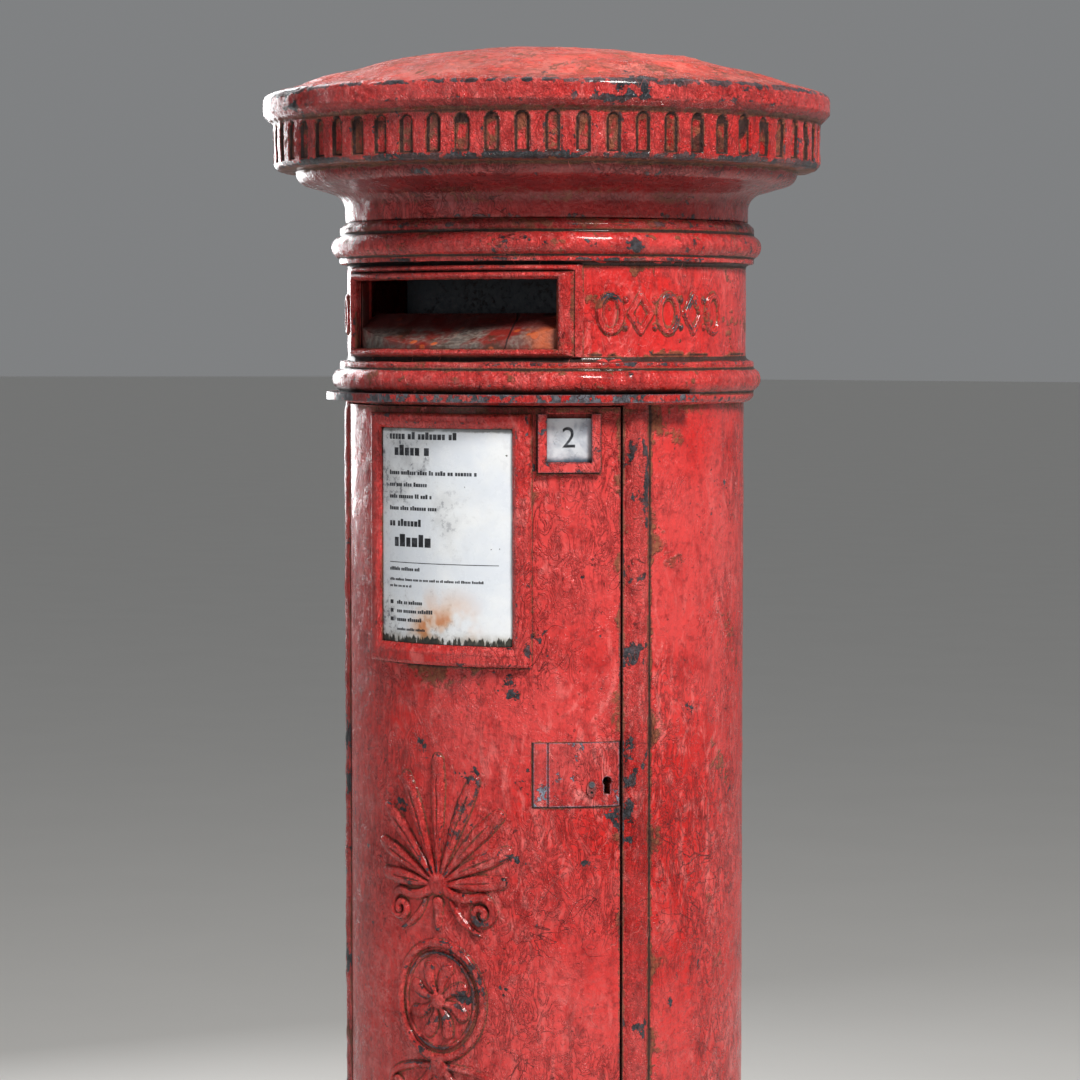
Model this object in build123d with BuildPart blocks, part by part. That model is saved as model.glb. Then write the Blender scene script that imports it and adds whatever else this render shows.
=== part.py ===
from build123d import *
from math import sin, cos, tan, asin, radians, degrees, sqrt
import os

# Cylindrical cast-iron post box.  +Z up, millimetres, origin on the
# axis at ground level, front (letter aperture and door) facing -Y.
# Angles are measured round the axis from the front, positive to +X.

# ---------------------------------------------------------------- sizes
R_BODY = 190.5            # 15 inch body
R_IN = 176.5              # inside of the 14 mm wall
Z_BASE = 240.0            # top of the plinth
Z_LM = 1260.0             # underside of the lower moulding
Z_TOP = Z_LM + 170.0      # seam between barrel and cap
R_BAND = 192.2            # plain band between the two mouldings
R_FIL = 199.9             # moulding fillets
R_BEAD = 207.0            # moulding beads
R_FLANGE = 150.0          # inner edge of the bolting flanges

A_OPEN = 53.4             # half angle of the doorway
A_DOOR = 52.7             # half angle of the door
Z_DO0, Z_DO1 = 290.0, Z_LM - 0.5      # doorway
Z_D0, Z_D1 = 292.5, Z_LM - 2.5        # door
A_LIP = 49.7              # half angle of the opening inside the stop lip
R_LIP0, R_LIP1 = 166.0, 175.8

R_PIV = R_BODY - 7.0      # door pivot lies in the wall's mid thickness
J_PIV = 9.5               # pivot to jamb
A_PIV = -A_OPEN + degrees(J_PIV / R_PIV)
R_KN = 7.0                # knuckle radius
R_PIN = 4.0
LUG_Z = (400.0, 775.0, 1150.0)
LUG_H = 36.0

AP_X = 111.3              # half width of the letter aperture
AP_Z0, AP_Z1 = Z_LM + 51.0, Z_LM + 115.0
SUR_X1, SUR_X2 = 129.0, 123.6         # surround: outer band, inner bead

A_NOT = 0.9               # notice frame centre
A_TAB = 38.0              # number tablet centre
A_LOCK = 43.6             # lock case centre
A_KEY = 48.9              # keyhole
A_FLAP = 44.3             # keyhole drop
Z_KEY = Z_LM - 347.5      # centre of the keyhole's round
LP_A0, LP_A1 = 28.2, 52.4             # lock plate
LP_Z0, LP_Z1 = Z_LM - 370.4, Z_LM - 311.2
N_FLUTE = 60
G_X, G_Y = -122.0, -100.0             # guard hinge axis
CLR = 0.3

NAMES = []


def at(a, r, z=0.0):
    """Point at angle a and radius r."""
    return (r * sin(radians(a)), -r * cos(radians(a)), z)


def pl(a, n=0.0):
    """Plane facing outward at angle a: local x tangential, local y up."""
    return Plane(origin=at(a, n), x_dir=(cos(radians(a)), sin(radians(a)), 0),
                 z_dir=(sin(radians(a)), -cos(radians(a)), 0))


def sector(a0, a1, r=600.0):
    """Corner points of a wedge from the axis."""
    m = (a0 + a1) / 2
    return [(0, 0)] + [at(a, r)[:2] for a in (a0, (a0 + m) / 2, m, (m + a1) / 2, a1)]


def save(part, name, n=None):
    part.label = name
    export_step(part, "parts/%s.step" % name)
    NAMES.append(name)


os.makedirs("parts", exist_ok=True)

# --------------------------------------------------------------- plinth
with BuildPart() as base:
    with BuildSketch(Plane.XZ):
        with BuildLine():
            Polyline((158, 0), (213, 0), (213, 118), (210, 121), (210, 150))
            ThreePointArc((210, 150), (217.5, 160.5), (210, 171))
            Line((210, 171), (205, 171))
            Line((205, 171), (205, 176))
            ThreePointArc((205, 176), (196.5, 186), (194, 204))
            Polyline((194, 204), (200, 204), (200, 213))
            ThreePointArc((200, 213), (193.5, 216.5), (190.5, 223))
            Polyline((190.5, 223), (190.5, Z_BASE), (R_FLANGE, Z_BASE),
                     (R_FLANGE, Z_BASE - 14), (174, Z_BASE - 14), (174, 24),
                     (158, 24), (158, 0))
        make_face()
    revolve(axis=Axis.Z)
    with BuildSketch(Plane.XY.offset(Z_BASE - 20)):
        with PolarLocations(160, 6):
            Circle(5.5)
    extrude(amount=30, mode=Mode.SUBTRACT)
save(base.part, "base")

# --------------------------------------------------------------- barrel
zl = Z_LM
with BuildPart() as barrel:
    with BuildSketch(Plane.XZ):
        with BuildLine():
            Line((R_BODY, Z_BASE), (R_BODY, zl))
            ThreePointArc((R_BODY, zl), (193.3, zl + 3.5), (R_FIL, zl + 4.9))
            Line((R_FIL, zl + 4.9), (R_FIL, zl + 10.6))
            ThreePointArc((R_FIL, zl + 10.6), (R_BEAD, zl + 20.9), (R_FIL, zl + 31.2))
            Line((R_FIL, zl + 31.2), (R_FIL, zl + 38.2))
            ThreePointArc((R_FIL, zl + 38.2), (194.4, zl + 39.8), (R_BAND, zl + 43.0))
            Line((R_BAND, zl + 43.0), (R_BAND, zl + 128.4))
            ThreePointArc((R_BAND, zl + 128.4), (194.4, zl + 130.8), (R_FIL, zl + 131.7))
            Line((R_FIL, zl + 131.7), (R_FIL, zl + 137.4))
            ThreePointArc((R_FIL, zl + 137.4), (R_BEAD, zl + 147.7), (R_FIL, zl + 158.0))
            Line((R_FIL, zl + 158.0), (R_FIL, zl + 165.5))
            ThreePointArc((R_FIL, zl + 165.5), (196.0, zl + 167.0), (194.5, Z_TOP))
            Polyline((194.5, Z_TOP), (R_IN, Z_TOP), (R_IN, zl + 150),
                     (R_FLANGE, zl + 150), (R_FLANGE, zl + 136), (R_IN, zl + 136),
                     (R_IN, Z_BASE + 14), (R_FLANGE, Z_BASE + 14),
                     (R_FLANGE, Z_BASE), (R_BODY, Z_BASE))
        make_face()
    revolve(axis=Axis.Z)
    # jamb beads either side of the doorway
    with BuildSketch(Plane.XY.offset(Z_BASE + 30)):
        with Locations(at(57.5, R_BODY - 16), at(-57.5, R_BODY - 16)):
            Circle(20.2)
        Circle(R_BODY - 3, mode=Mode.SUBTRACT)
    extrude(amount=Z_LM - Z_BASE - 30.0)
    # stop lip behind the door
    with BuildSketch(Plane.XY.offset(280)):
        Circle(R_IN + 0.1)
        Circle(R_LIP0, mode=Mode.SUBTRACT)
        with BuildLine():
            Polyline(*sector(-60, 60), close=True)
        make_face(mode=Mode.INTERSECT)
    extrude(amount=990)
    # doorway
    with BuildSketch(Plane.XY.offset(Z_DO0)):
        Circle(230)
        Circle(R_LIP1, mode=Mode.SUBTRACT)
        with BuildLine():
            Polyline(*sector(-A_OPEN, A_OPEN), close=True)
        make_face(mode=Mode.INTERSECT)
    extrude(amount=Z_DO1 - Z_DO0, mode=Mode.SUBTRACT)
    with BuildSketch(Plane.XY.offset(300)):
        Circle(R_LIP1 + 0.4)
        with BuildLine():
            Polyline(*sector(-A_LIP, A_LIP), close=True)
        make_face(mode=Mode.INTERSECT)
    extrude(amount=950, mode=Mode.SUBTRACT)
    # room for the lock beside the doorway
    with BuildSketch(Plane.XY.offset(878)):
        Circle(R_IN)
        with BuildLine():
            Polyline(*sector(44, 66), close=True)
        make_face(mode=Mode.INTERSECT)
    extrude(amount=86, mode=Mode.SUBTRACT)
    # hinge lugs on the left jamb
    with Locations(*[at(A_PIV, R_PIV, z) for z in LUG_Z]):
        Cylinder(R_KN, LUG_H)
    with BuildSketch(pl(A_PIV, R_PIV - 6.8)):
        with Locations(*[(-6.5, z) for z in LUG_Z]):
            Rectangle(13, LUG_H)
    extrude(amount=6.9)
    with Locations(*[at(A_PIV, R_PIV, z) for z in LUG_Z]):
        Cylinder(R_PIN + 0.03, LUG_H + 2, mode=Mode.SUBTRACT)
    # letter aperture
    with BuildSketch(Plane.XZ):
        with Locations((0, (AP_Z0 + AP_Z1) / 2)):
            Rectangle(2 * AP_X, AP_Z1 - AP_Z0)
    extrude(amount=230, mode=Mode.SUBTRACT)
    # bolt holes: bottom flange, top flange, hood screws
    with BuildSketch(Plane.XY.offset(Z_BASE - 2)):
        with PolarLocations(160, 6):
            Circle(5.5)
    extrude(amount=20, mode=Mode.SUBTRACT)
    with BuildSketch(Plane.XY.offset(zl + 134)):
        with PolarLocations(163, 4, start_angle=45):
            Circle(5.5)
        with Locations((-50, -155.5), (50, -155.5)):
            Circle(3.3)
    extrude(amount=18, mode=Mode.SUBTRACT)
save(barrel.part, "barrel")

# ------------------------------------------------------------------ cap
def dome_mid(r_edge, z_edge, z_apex, r):
    """Point at radius r on the sphere through the apex and the edge."""
    h = z_apex - z_edge
    rr = (r_edge ** 2 + h ** 2) / (2 * h)
    return (r, z_apex - rr + sqrt(rr ** 2 - r ** 2))


with BuildPart() as cap:
    with BuildSketch(Plane.XZ):
        with BuildLine():
            Polyline((R_IN - CLR, Z_TOP), (194.5, Z_TOP), (194.5, zl + 186))
            ThreePointArc((194.5, zl + 186), (198.4, zl + 193.6), (206.9, zl + 199.3))
            Line((206.9, zl + 199.3), (230, zl + 206.2))
            ThreePointArc((230, zl + 206.2), (238.4, zl + 210.2), (241.8, zl + 217.6))
            Polyline((241.8, zl + 217.6), (241.8, zl + 219.6), (257.5, zl + 220.6))
            ThreePointArc((257.5, zl + 220.6), (262.2, zl + 224.6), (263.6, zl + 231))
            Line((263.6, zl + 231), (263.6, zl + 264.9))
            ThreePointArc((263.6, zl + 264.9), (268.0, zl + 268.6), (273.4, zl + 274.1))
            Line((273.4, zl + 274.1), (273.4, zl + 285.2))
            ThreePointArc((273.4, zl + 285.2), (272.2, zl + 289.6), (268.1, zl + 292.6))
            ThreePointArc((268.1, zl + 292.6), dome_mid(268.1, zl + 292.6, zl + 339.4, 146),
                          (0, zl + 339.4))
            Line((0, zl + 339.4), (0, zl + 327.4))
            ThreePointArc((0, zl + 327.4), dome_mid(248, zl + 284, zl + 327.4, 130),
                          (248, zl + 284))
            Polyline((248, zl + 284), (248, zl + 236), (228, zl + 224), (176, zl + 208),
                     (162, zl + 200), (R_FLANGE, zl + 186), (R_FLANGE, zl + 150),
                     (R_IN - CLR, zl + 150), (R_IN - CLR, Z_TOP))
        make_face()
    revolve(axis=Axis.Z)
    # round-headed sunk panels round the band
    with PolarLocations(263.6, N_FLUTE, start_angle=3.0):
        with Locations((0, 0, zl + 241.75)):
            Box(7.0, 13.4, 29.5, mode=Mode.SUBTRACT)
        with Locations((0, 0, zl + 256.5)):
            Cylinder(6.7, 7.0, rotation=(0, 90, 0), mode=Mode.SUBTRACT)
    with BuildSketch(Plane.XY.offset(zl + 149)):
        with PolarLocations(163, 4, start_angle=45):
            Circle(5.3)
    extrude(amount=21, mode=Mode.SUBTRACT)
save(cap.part, "cap")

# ----------------------------------------------------- drip strip, surround
with BuildPart() as drip:
    with BuildSketch(Plane.XY.offset(zl + 2.1)):
        Circle(213.4)
        Circle(R_FIL + CLR, mode=Mode.SUBTRACT)
        with BuildLine():
            Polyline(*sector(-73.4, 73.4), close=True)
        make_face(mode=Mode.INTERSECT)
    extrude(amount=7.3)
save(drip.part, "drip_strip")

with BuildPart() as surround:
    with BuildSketch(Plane.XZ.offset(120)):
        with Locations((0, zl + 85.7)):
            Rectangle(2 * SUR_X1, 84.6)
        with Locations((0, (AP_Z0 + AP_Z1) / 2)):
            Rectangle(2 * AP_X, AP_Z1 - AP_Z0, mode=Mode.SUBTRACT)
    extrude(amount=90)
    with BuildSketch(Plane.XY.offset(zl + 30)):
        Circle(198.4)
        Circle(R_BAND + CLR, mode=Mode.SUBTRACT)
    extrude(amount=110, mode=Mode.INTERSECT)
    with BuildSketch(Plane.XY.offset(zl + 30)):
        Circle(205)
        Circle(195.4, mode=Mode.SUBTRACT)
        Rectangle(2 * SUR_X2, 500, mode=Mode.SUBTRACT)
    extrude(amount=110, mode=Mode.SUBTRACT)
save(surround.part, "aperture_surround")

# ------------------------------------------------------- letter chute, hood
with BuildPart() as chute:
    with BuildSketch(Plane.YZ.offset(-AP_X + 0.5)):
        with BuildLine():
            Polyline((-190, zl + 51.3), (-190, zl + 53.8), (-128, zl + 84),
                     (-124, zl + 84), (-124, zl + 12), (-128, zl + 12),
                     (-128, zl + 51.3), close=True)
        make_face()
    extrude(amount=2 * AP_X - 1)
    with BuildSketch(Plane.YZ.offset(-AP_X + 0.5)):
        with Locations((-168, zl + 82)):
            Rectangle(44, 61)
    extrude(amount=3.0)
    with BuildSketch(Plane.YZ.offset(AP_X - 3.5)):
        with Locations((-168, zl + 82)):
            Rectangle(44, 61)
    extrude(amount=3.0)
    with BuildSketch(Plane.XY.offset(zl - 20)):
        Circle(190)
    extrude(amount=160, mode=Mode.INTERSECT)
    # fixing ears against the inside of the wall, below the aperture
    with BuildSketch(Plane.XY.offset(zl + 28)):
        with Locations((-88, -147), (88, -147)):
            Rectangle(16, 40)
        Circle(R_IN - CLR, mode=Mode.INTERSECT)
    extrude(amount=6)
save(chute.part, "letter_chute")

with BuildPart() as hood:
    with BuildSketch(Plane.YZ.offset(-95)):
        with BuildLine():
            Polyline((-168, zl + 135.7), (-97, zl + 135.7), (-97, zl + 22),
                     (-100, zl + 22), (-100, zl + 132.7), (-168, zl + 132.7), close=True)
        make_face()
    extrude(amount=190)
    with BuildSketch(Plane.XY.offset(zl + 10)):
        Circle(R_IN - 1.5)
    extrude(amount=140, mode=Mode.INTERSECT)
    with BuildSketch(Plane.XY.offset(zl + 130)):
        with Locations((-50, -155.5), (50, -155.5)):
            Circle(3.3)
    extrude(amount=10, mode=Mode.SUBTRACT)
save(hood.part, "letter_hood")

with BuildPart() as hood_screws:
    with BuildSketch(Plane.XY.offset(zl + 132.7)):
        with Locations((-50, -155.5), (50, -155.5)):
            Circle(3.0)
    extrude(amount=16.8)
    with BuildSketch(Plane.XY.offset(zl + 127.7)):
        with Locations((-50, -155.5), (50, -155.5)):
            RegularPolygon(5.6, 6)
    extrude(amount=5)
save(hood_screws.part, "hood_screws")

# ----------------------------------------------------------------- bolts
with BuildPart() as cap_bolts:
    with BuildSketch(Plane.XY.offset(zl + 136)):
        with PolarLocations(163, 4, start_angle=45):
            Circle(5.0)
    extrude(amount=30)
    with BuildSketch(Plane.XY.offset(zl + 128.5)):
        with PolarLocations(163, 4, start_angle=45):
            RegularPolygon(9.5, 6)
    extrude(amount=7.5)
save(cap_bolts.part, "cap_bolts")

with BuildPart() as base_bolts:
    with BuildSketch(Plane.XY.offset(Z_BASE - 26)):
        with PolarLocations(160, 6):
            Circle(5.0)
    extrude(amount=40)
    with BuildSketch(Plane.XY.offset(Z_BASE + 14)):
        with PolarLocations(160, 6):
            RegularPolygon(9.5, 6)
    extrude(amount=7)
save(base_bolts.part, "base_bolts")

with BuildPart() as base_nuts:
    with BuildSketch(Plane.XY.offset(Z_BASE - 23)):
        with PolarLocations(160, 6):
            RegularPolygon(9.3, 6)
            Circle(5.05, mode=Mode.SUBTRACT)
    extrude(amount=9)
save(base_nuts.part, "base_nuts")

with BuildPart() as floor:
    with BuildSketch(Plane.XY.offset(Z_BASE + 14)):
        Circle(R_LIP0 - 1.0)
        with PolarLocations(160, 6):
            Circle(12, mode=Mode.SUBTRACT)
        with PolarLocations(90, 8, start_angle=22.5):
            Circle(5, mode=Mode.SUBTRACT)
    extrude(amount=5)
save(floor.part, "floor_plate")

# ------------------------------------------------------------------ door
with BuildPart() as door:
    with BuildSketch(Plane.XY.offset(Z_D0)):
        Circle(R_BODY)
        Circle(R_IN, mode=Mode.SUBTRACT)
        with BuildLine():
            Polyline(*sector(A_PIV, A_DOOR), close=True)
        make_face(mode=Mode.INTERSECT)
        with Locations(at(A_PIV, R_PIV)):
            Circle(R_KN)
    extrude(amount=Z_D1 - Z_D0)
    # stiffening ribs
    with BuildSketch(Plane.XY.offset(560)):
        Circle(R_IN + 0.2)
        Circle(R_IN - 6.0, mode=Mode.SUBTRACT)
        with BuildLine():
            Polyline(*sector(-44, 47), close=True)
        make_face(mode=Mode.INTERSECT)
    extrude(amount=9)
    with BuildSketch(Plane.XY.offset(1010)):
        Circle(R_IN + 0.2)
        Circle(R_IN - 6.0, mode=Mode.SUBTRACT)
        with BuildLine():
            Polyline(*sector(-44, 24), close=True)
        make_face(mode=Mode.INTERSECT)
    extrude(amount=9)
    # flat pad behind the lock
    with BuildSketch(pl(A_LOCK, 174.2)):
        with Locations((-1.5, 923)):
            Rectangle(53, 66)
    extrude(amount=8)
    # notches round the body's hinge lugs, and the pin holes
    with Locations(*[at(A_PIV, R_PIV, z) for z in LUG_Z]):
        Cylinder(R_KN + 0.8, LUG_H + 1.0, mode=Mode.SUBTRACT)
        Cylinder(R_PIN + 0.05, LUG_H + 50, mode=Mode.SUBTRACT)
    # slot for the number tablet, open at the door's top edge, and its window
    with BuildSketch(pl(A_TAB, 185.6)):
        with Locations((0, zl - 20)):
            Rectangle(47.2, 71.0)
    extrude(amount=3.2, mode=Mode.SUBTRACT)
    with BuildSketch(pl(A_TAB, 188.7)):
        with Locations((0, zl - 30.5)):
            Rectangle(41.5, 44.0)
    extrude(amount=8, mode=Mode.SUBTRACT)
    # seat for the lock plate
    with BuildSketch(Plane.XY.offset(LP_Z0 - 0.9)):
        Circle(R_BODY + 5)
        Circle(186.6, mode=Mode.SUBTRACT)
        with BuildLine():
            Polyline(*sector(LP_A0 - 0.3, A_DOOR + 3), close=True)
        make_face(mode=Mode.INTERSECT)
    extrude(amount=LP_Z1 - LP_Z0 + 1.8, mode=Mode.SUBTRACT)
    # keyhole
    with BuildSketch(pl(A_KEY, 165)):
        with Locations((0, Z_KEY)):
            Circle(4.6)
        with Locations((0, Z_KEY - 6.5)):
            Rectangle(6.2, 11.4)
    extrude(amount=40, mode=Mode.SUBTRACT)
    # clearance for the notice screws and the lock case screws
    for a, z in [(A_NOT + s * 25.3, zl + h) for s in (-1, 1) for h in (-40, -210)]:
        with BuildSketch(pl(a, 170)):
            with Locations((0, z)):
                Circle(2.8)
        extrude(amount=40, mode=Mode.SUBTRACT)
    with BuildSketch(pl(A_LOCK, 170)):
        with Locations(*[(u, z) for u in (-24, 21) for z in (897.5, 948.5)]):
            Circle(2.2)
    extrude(amount=14, mode=Mode.SUBTRACT)
save(door.part, "door")

with BuildPart() as hinge_pins:
    with Locations(*[at(A_PIV, R_PIV, z) for z in LUG_Z]):
        Cylinder(R_PIN, LUG_H + 44)
save(hinge_pins.part, "hinge_pins")

# ------------------------------------------------- notice frame and plate
with BuildPart() as nframe:
    with BuildSketch(pl(A_NOT, 120)):
        with Locations((0, zl - 125.0)):
            Rectangle(174, 233.5)
        with Locations((0, zl - 122.5)):
            Rectangle(143, 200.2, mode=Mode.SUBTRACT)
    extrude(amount=90)
    with BuildSketch(Plane.XY.offset(zl - 260)):
        Circle(199.2)
        Circle(R_BODY + CLR, mode=Mode.SUBTRACT)
    extrude(amount=270, mode=Mode.INTERSECT)
    outer = nframe.faces().filter_by(GeomType.CYLINDER).sort_by(SortBy.AREA)[-1]
    fillet(outer.outer_wire().edges(), 4.0)
    for a, z in [(A_NOT + s * 25.3, zl + h) for s in (-1, 1) for h in (-40, -210)]:
        with BuildSketch(pl(a, 186)):
            with Locations((0, z)):
                Circle(2.7)
        extrude(amount=9.2, mode=Mode.SUBTRACT)
save(nframe.part, "notice_frame")

with BuildPart() as nplate:
    with BuildSketch(pl(A_NOT, 120)):
        with Locations((0, zl - 122.5)):
            RectangleRounded(142.4, 199.6, 3.0)
    extrude(amount=90)
    with BuildSketch(Plane.XY.offset(zl - 260)):
        Circle(R_BODY + 2.6)
        Circle(R_BODY + CLR, mode=Mode.SUBTRACT)
    extrude(amount=270, mode=Mode.INTERSECT)
save(nplate.part, "notice_plate")

with BuildPart() as nscrews:
    for a, z in [(A_NOT + s * 25.3, zl + h) for s in (-1, 1) for h in (-40, -210)]:
        with BuildSketch(pl(a, 175.5)):
            with Locations((0, z)):
                Circle(2.5)
        extrude(amount=19)
        with BuildSketch(pl(a, 171.8)):
            with Locations((0, z)):
                RegularPolygon(5.2, 6)
        extrude(amount=4.5)
save(nscrews.part, "notice_screws")

# ------------------------------------------------ number tablet and holder
with BuildPart() as holder:
    with BuildSketch(pl(A_TAB, 183)):
        with Locations((0, zl - 35.2)):
            Rectangle(58, 53.6)
        with Locations((0, zl - 28.0)):
            Rectangle(41.5, 50.0, mode=Mode.SUBTRACT)
    extrude(amount=12.8)
    with BuildSketch(Plane.XY.offset(zl - 80)):
        Circle(R_BODY + CLR)
    extrude(amount=90, mode=Mode.SUBTRACT)
save(holder.part, "tablet_holder")

with BuildPart() as tablet:
    with BuildSketch(pl(A_TAB, 186.0)):
        with Locations((0, zl - 33.9)):
            RectangleRounded(46.4, 42.6, 1.5)
    extrude(amount=2.4)
save(tablet.part, "number_tablet")

# ------------------------------------------------------------------- lock
with BuildPart() as lplate:
    with BuildSketch(Plane.XY.offset(LP_Z0)):
        Circle(R_BODY + 0.2)
        Circle(187.0, mode=Mode.SUBTRACT)
        with BuildLine():
            Polyline(*sector(LP_A0, LP_A1), close=True)
        make_face(mode=Mode.INTERSECT)
    extrude(amount=LP_Z1 - LP_Z0)
    with BuildSketch(Plane.XY.offset(LP_Z0)):
        with Locations(Location(at(32.2, R_BODY + 0.3), (0, 0, 32.2))):
            Rectangle(1.3, 3.0)
    extrude(amount=LP_Z1 - LP_Z0, mode=Mode.SUBTRACT)
    with BuildSketch(pl(A_KEY, 180)):
        with Locations((0, Z_KEY)):
            Circle(4.4)
        with Locations((0, Z_KEY - 6.5)):
            Rectangle(6.0, 11.0)
    extrude(amount=15, mode=Mode.SUBTRACT)
    with BuildSketch(pl(A_FLAP, 180)):
        with Locations((0, zl - 350.0)):
            Circle(1.6)
    extrude(amount=15, mode=Mode.SUBTRACT)
save(lplate.part, "lock_plate")

with BuildPart() as flap:
    with BuildSketch(pl(A_FLAP, 191.0)):
        with Locations((0, zl - 354.2)):
            Ellipse(4.5, 7.4)
        with Locations((0, zl - 350.0)):
            Circle(1.55, mode=Mode.SUBTRACT)
    extrude(amount=1.8)
save(flap.part, "keyhole_drop")

with BuildPart() as rivet:
    with BuildSketch(pl(A_FLAP, 187.2)):
        with Locations((0, zl - 350.0)):
            Circle(1.5)
    extrude(amount=6.0)
    with BuildSketch(pl(A_FLAP, 192.9)):
        with Locations((0, zl - 350.0)):
            Circle(2.7)
    extrude(amount=1.2)
save(rivet.part, "drop_rivet")

with BuildPart() as case:
    with BuildSketch(pl(A_LOCK, 156.0)):
        with Locations((-1.5, 923)):
            Rectangle(53, 62)
    extrude(amount=18.0)
    with BuildSketch(pl(A_LOCK, 155.0)):
        with Locations((-1.5, 923)):
            Rectangle(47, 56)
    extrude(amount=16.0, mode=Mode.SUBTRACT)
    # corner posts for the cover screws
    with BuildSketch(pl(A_LOCK, 158.2)):
        with Locations(*[(u, z) for u in (-24, 21) for z in (897.5, 948.5)]):
            Rectangle(8, 10)
    extrude(amount=13.5)
    with BuildSketch(pl(A_LOCK, 150)):
        with Locations(*[(u, z) for u in (-24, 21) for z in (897.5, 948.5)]):
            Circle(2.2)
    extrude(amount=30, mode=Mode.SUBTRACT)
    # bolt mouth and keyhole
    with BuildSketch(pl(A_LOCK, 159.6)):
        with Locations((22, 930)):
            Rectangle(10, 16.6)
    extrude(amount=6.8, mode=Mode.SUBTRACT)
    with BuildSketch(pl(A_KEY, 165)):
        with Locations((0, Z_KEY)):
            Circle(4.6)
        with Locations((0, Z_KEY - 6.5)):
            Rectangle(6.2, 11.4)
    extrude(amount=20, mode=Mode.SUBTRACT)
save(case.part, "lock_case")

with BuildPart() as lcover:
    with BuildSketch(pl(A_LOCK, 155.8)):
        with Locations((-1.5, 923)):
            RectangleRounded(46.6, 55.6, 1.0)
        with Locations(*[(u, z) for u in (-24, 21) for z in (897.5, 948.5)]):
            Circle(2.2, mode=Mode.SUBTRACT)
    extrude(amount=2.2)
save(lcover.part, "lock_cover")

with BuildPart() as lscrews:
    with BuildSketch(pl(A_LOCK, 155.4)):
        with Locations(*[(u, z) for u in (-24, 21) for z in (897.5, 948.5)]):
            Circle(2.0)
    extrude(amount=26)
    with BuildSketch(pl(A_LOCK, 152.8)):
        with Locations(*[(u, z) for u in (-24, 21) for z in (897.5, 948.5)]):
            Circle(3.9)
    extrude(amount=2.9)
save(lscrews.part, "lock_screws")

with BuildPart() as bolt:
    with BuildSketch(pl(A_LOCK, 160.0)):
        with Locations((6.5, 930)):
            Rectangle(37, 16)
        with Locations((-4, 920)):
            Rectangle(10, 6, mode=Mode.ADD)
        with Locations((-4, 917.5)):
            Rectangle(5, 3, mode=Mode.SUBTRACT)
    extrude(amount=6.0)
save(bolt.part, "lock_bolt")

with BuildPart() as keeper:
    with BuildSketch(pl(A_LOCK, 155.0)):
        with Locations((40, 930)):
            Rectangle(14, 48)
    extrude(amount=23)
    with BuildSketch(Plane.XY.offset(890)):
        Circle(R_IN - CLR)
    extrude(amount=80, mode=Mode.INTERSECT)
    with BuildSketch(pl(A_LOCK, 159.4)):
        with Locations((40, 930)):
            Rectangle(20, 17.2)
    extrude(amount=7.2, mode=Mode.SUBTRACT)
    with BuildSketch(pl(A_LOCK, 150)):
        with Locations((40, 912.5), (40, 947.5)):
            Circle(2.6)
    extrude(amount=30, mode=Mode.SUBTRACT)
save(keeper.part, "lock_keeper")

with BuildPart() as kscrews:
    with BuildSketch(pl(A_LOCK, 154.9)):
        with Locations((40, 912.5), (40, 947.5)):
            Circle(2.4)
    extrude(amount=16.0)
    with BuildSketch(pl(A_LOCK, 151.9)):
        with Locations((40, 912.5), (40, 947.5)):
            Circle(4.4)
    extrude(amount=3.0)
save(kscrews.part, "keeper_screws")

# ------------------------------------------------------ inner wire guard
GZ0, GZ1 = 330.0, 1180.0
GX1 = 108.0
with BuildPart() as guard:
    with BuildSketch(Plane.XZ.offset(-G_Y - 3)):
        with Locations(((G_X + 8 + GX1) / 2, (GZ0 + GZ1) / 2)):
            Rectangle(GX1 - G_X - 8, GZ1 - GZ0)
            Rectangle(GX1 - G_X - 24, GZ1 - GZ0 - 16, mode=Mode.SUBTRACT)
        with Locations(*[(0 - 3, GZ0 + k * (GZ1 - GZ0) / 4) for k in (1, 2, 3)]):
            Rectangle(GX1 - G_X - 16, 5)
    extrude(amount=6)
    with Locations(*[(G_X + 8 + k * (GX1 - G_X - 8) / 8.0, G_Y, (GZ0 + GZ1) / 2)
                     for k in range(1, 8)]):
        Cylinder(1.8, GZ1 - GZ0 - 10)
    # eyes on the hinge side
    with Locations((G_X, G_Y, GZ0 + 20), (G_X, G_Y, GZ1 - 20)):
        Cylinder(6.0, 20)
    with Locations((G_X + 7, G_Y, GZ0 + 20), (G_X + 7, G_Y, GZ1 - 20)):
        Box(8, 5.0, 20)
    with Locations((G_X, G_Y, GZ0 + 20), (G_X, G_Y, GZ1 - 20)):
        Cylinder(3.05, 24, mode=Mode.SUBTRACT)
save(guard.part, "wire_guard")

with BuildPart() as brackets:
    for z in (GZ0 + 20, GZ1 - 20):
        with BuildSketch(Plane.XY.offset(z - 20.5)):
            with Locations((G_X - 20.5, G_Y)):
                Rectangle(41, 13)
            with Locations((G_X, G_Y)):
                Circle(6.5)
            Circle(R_LIP0 - CLR, mode=Mode.INTERSECT)
            with Locations((G_X, G_Y)):
                Circle(3.03, mode=Mode.SUBTRACT)
        extrude(amount=10)
save(brackets.part, "guard_brackets")

with BuildPart() as gpins:
    with Locations((G_X, G_Y, GZ0 + 14.5), (G_X, G_Y, GZ1 - 25.5)):
        Cylinder(3.0, 30)
save(gpins.part, "guard_pins")

print(len(NAMES), "nodes")
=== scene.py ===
import bpy, math
import numpy as np
from mathutils import Vector, Matrix


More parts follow.
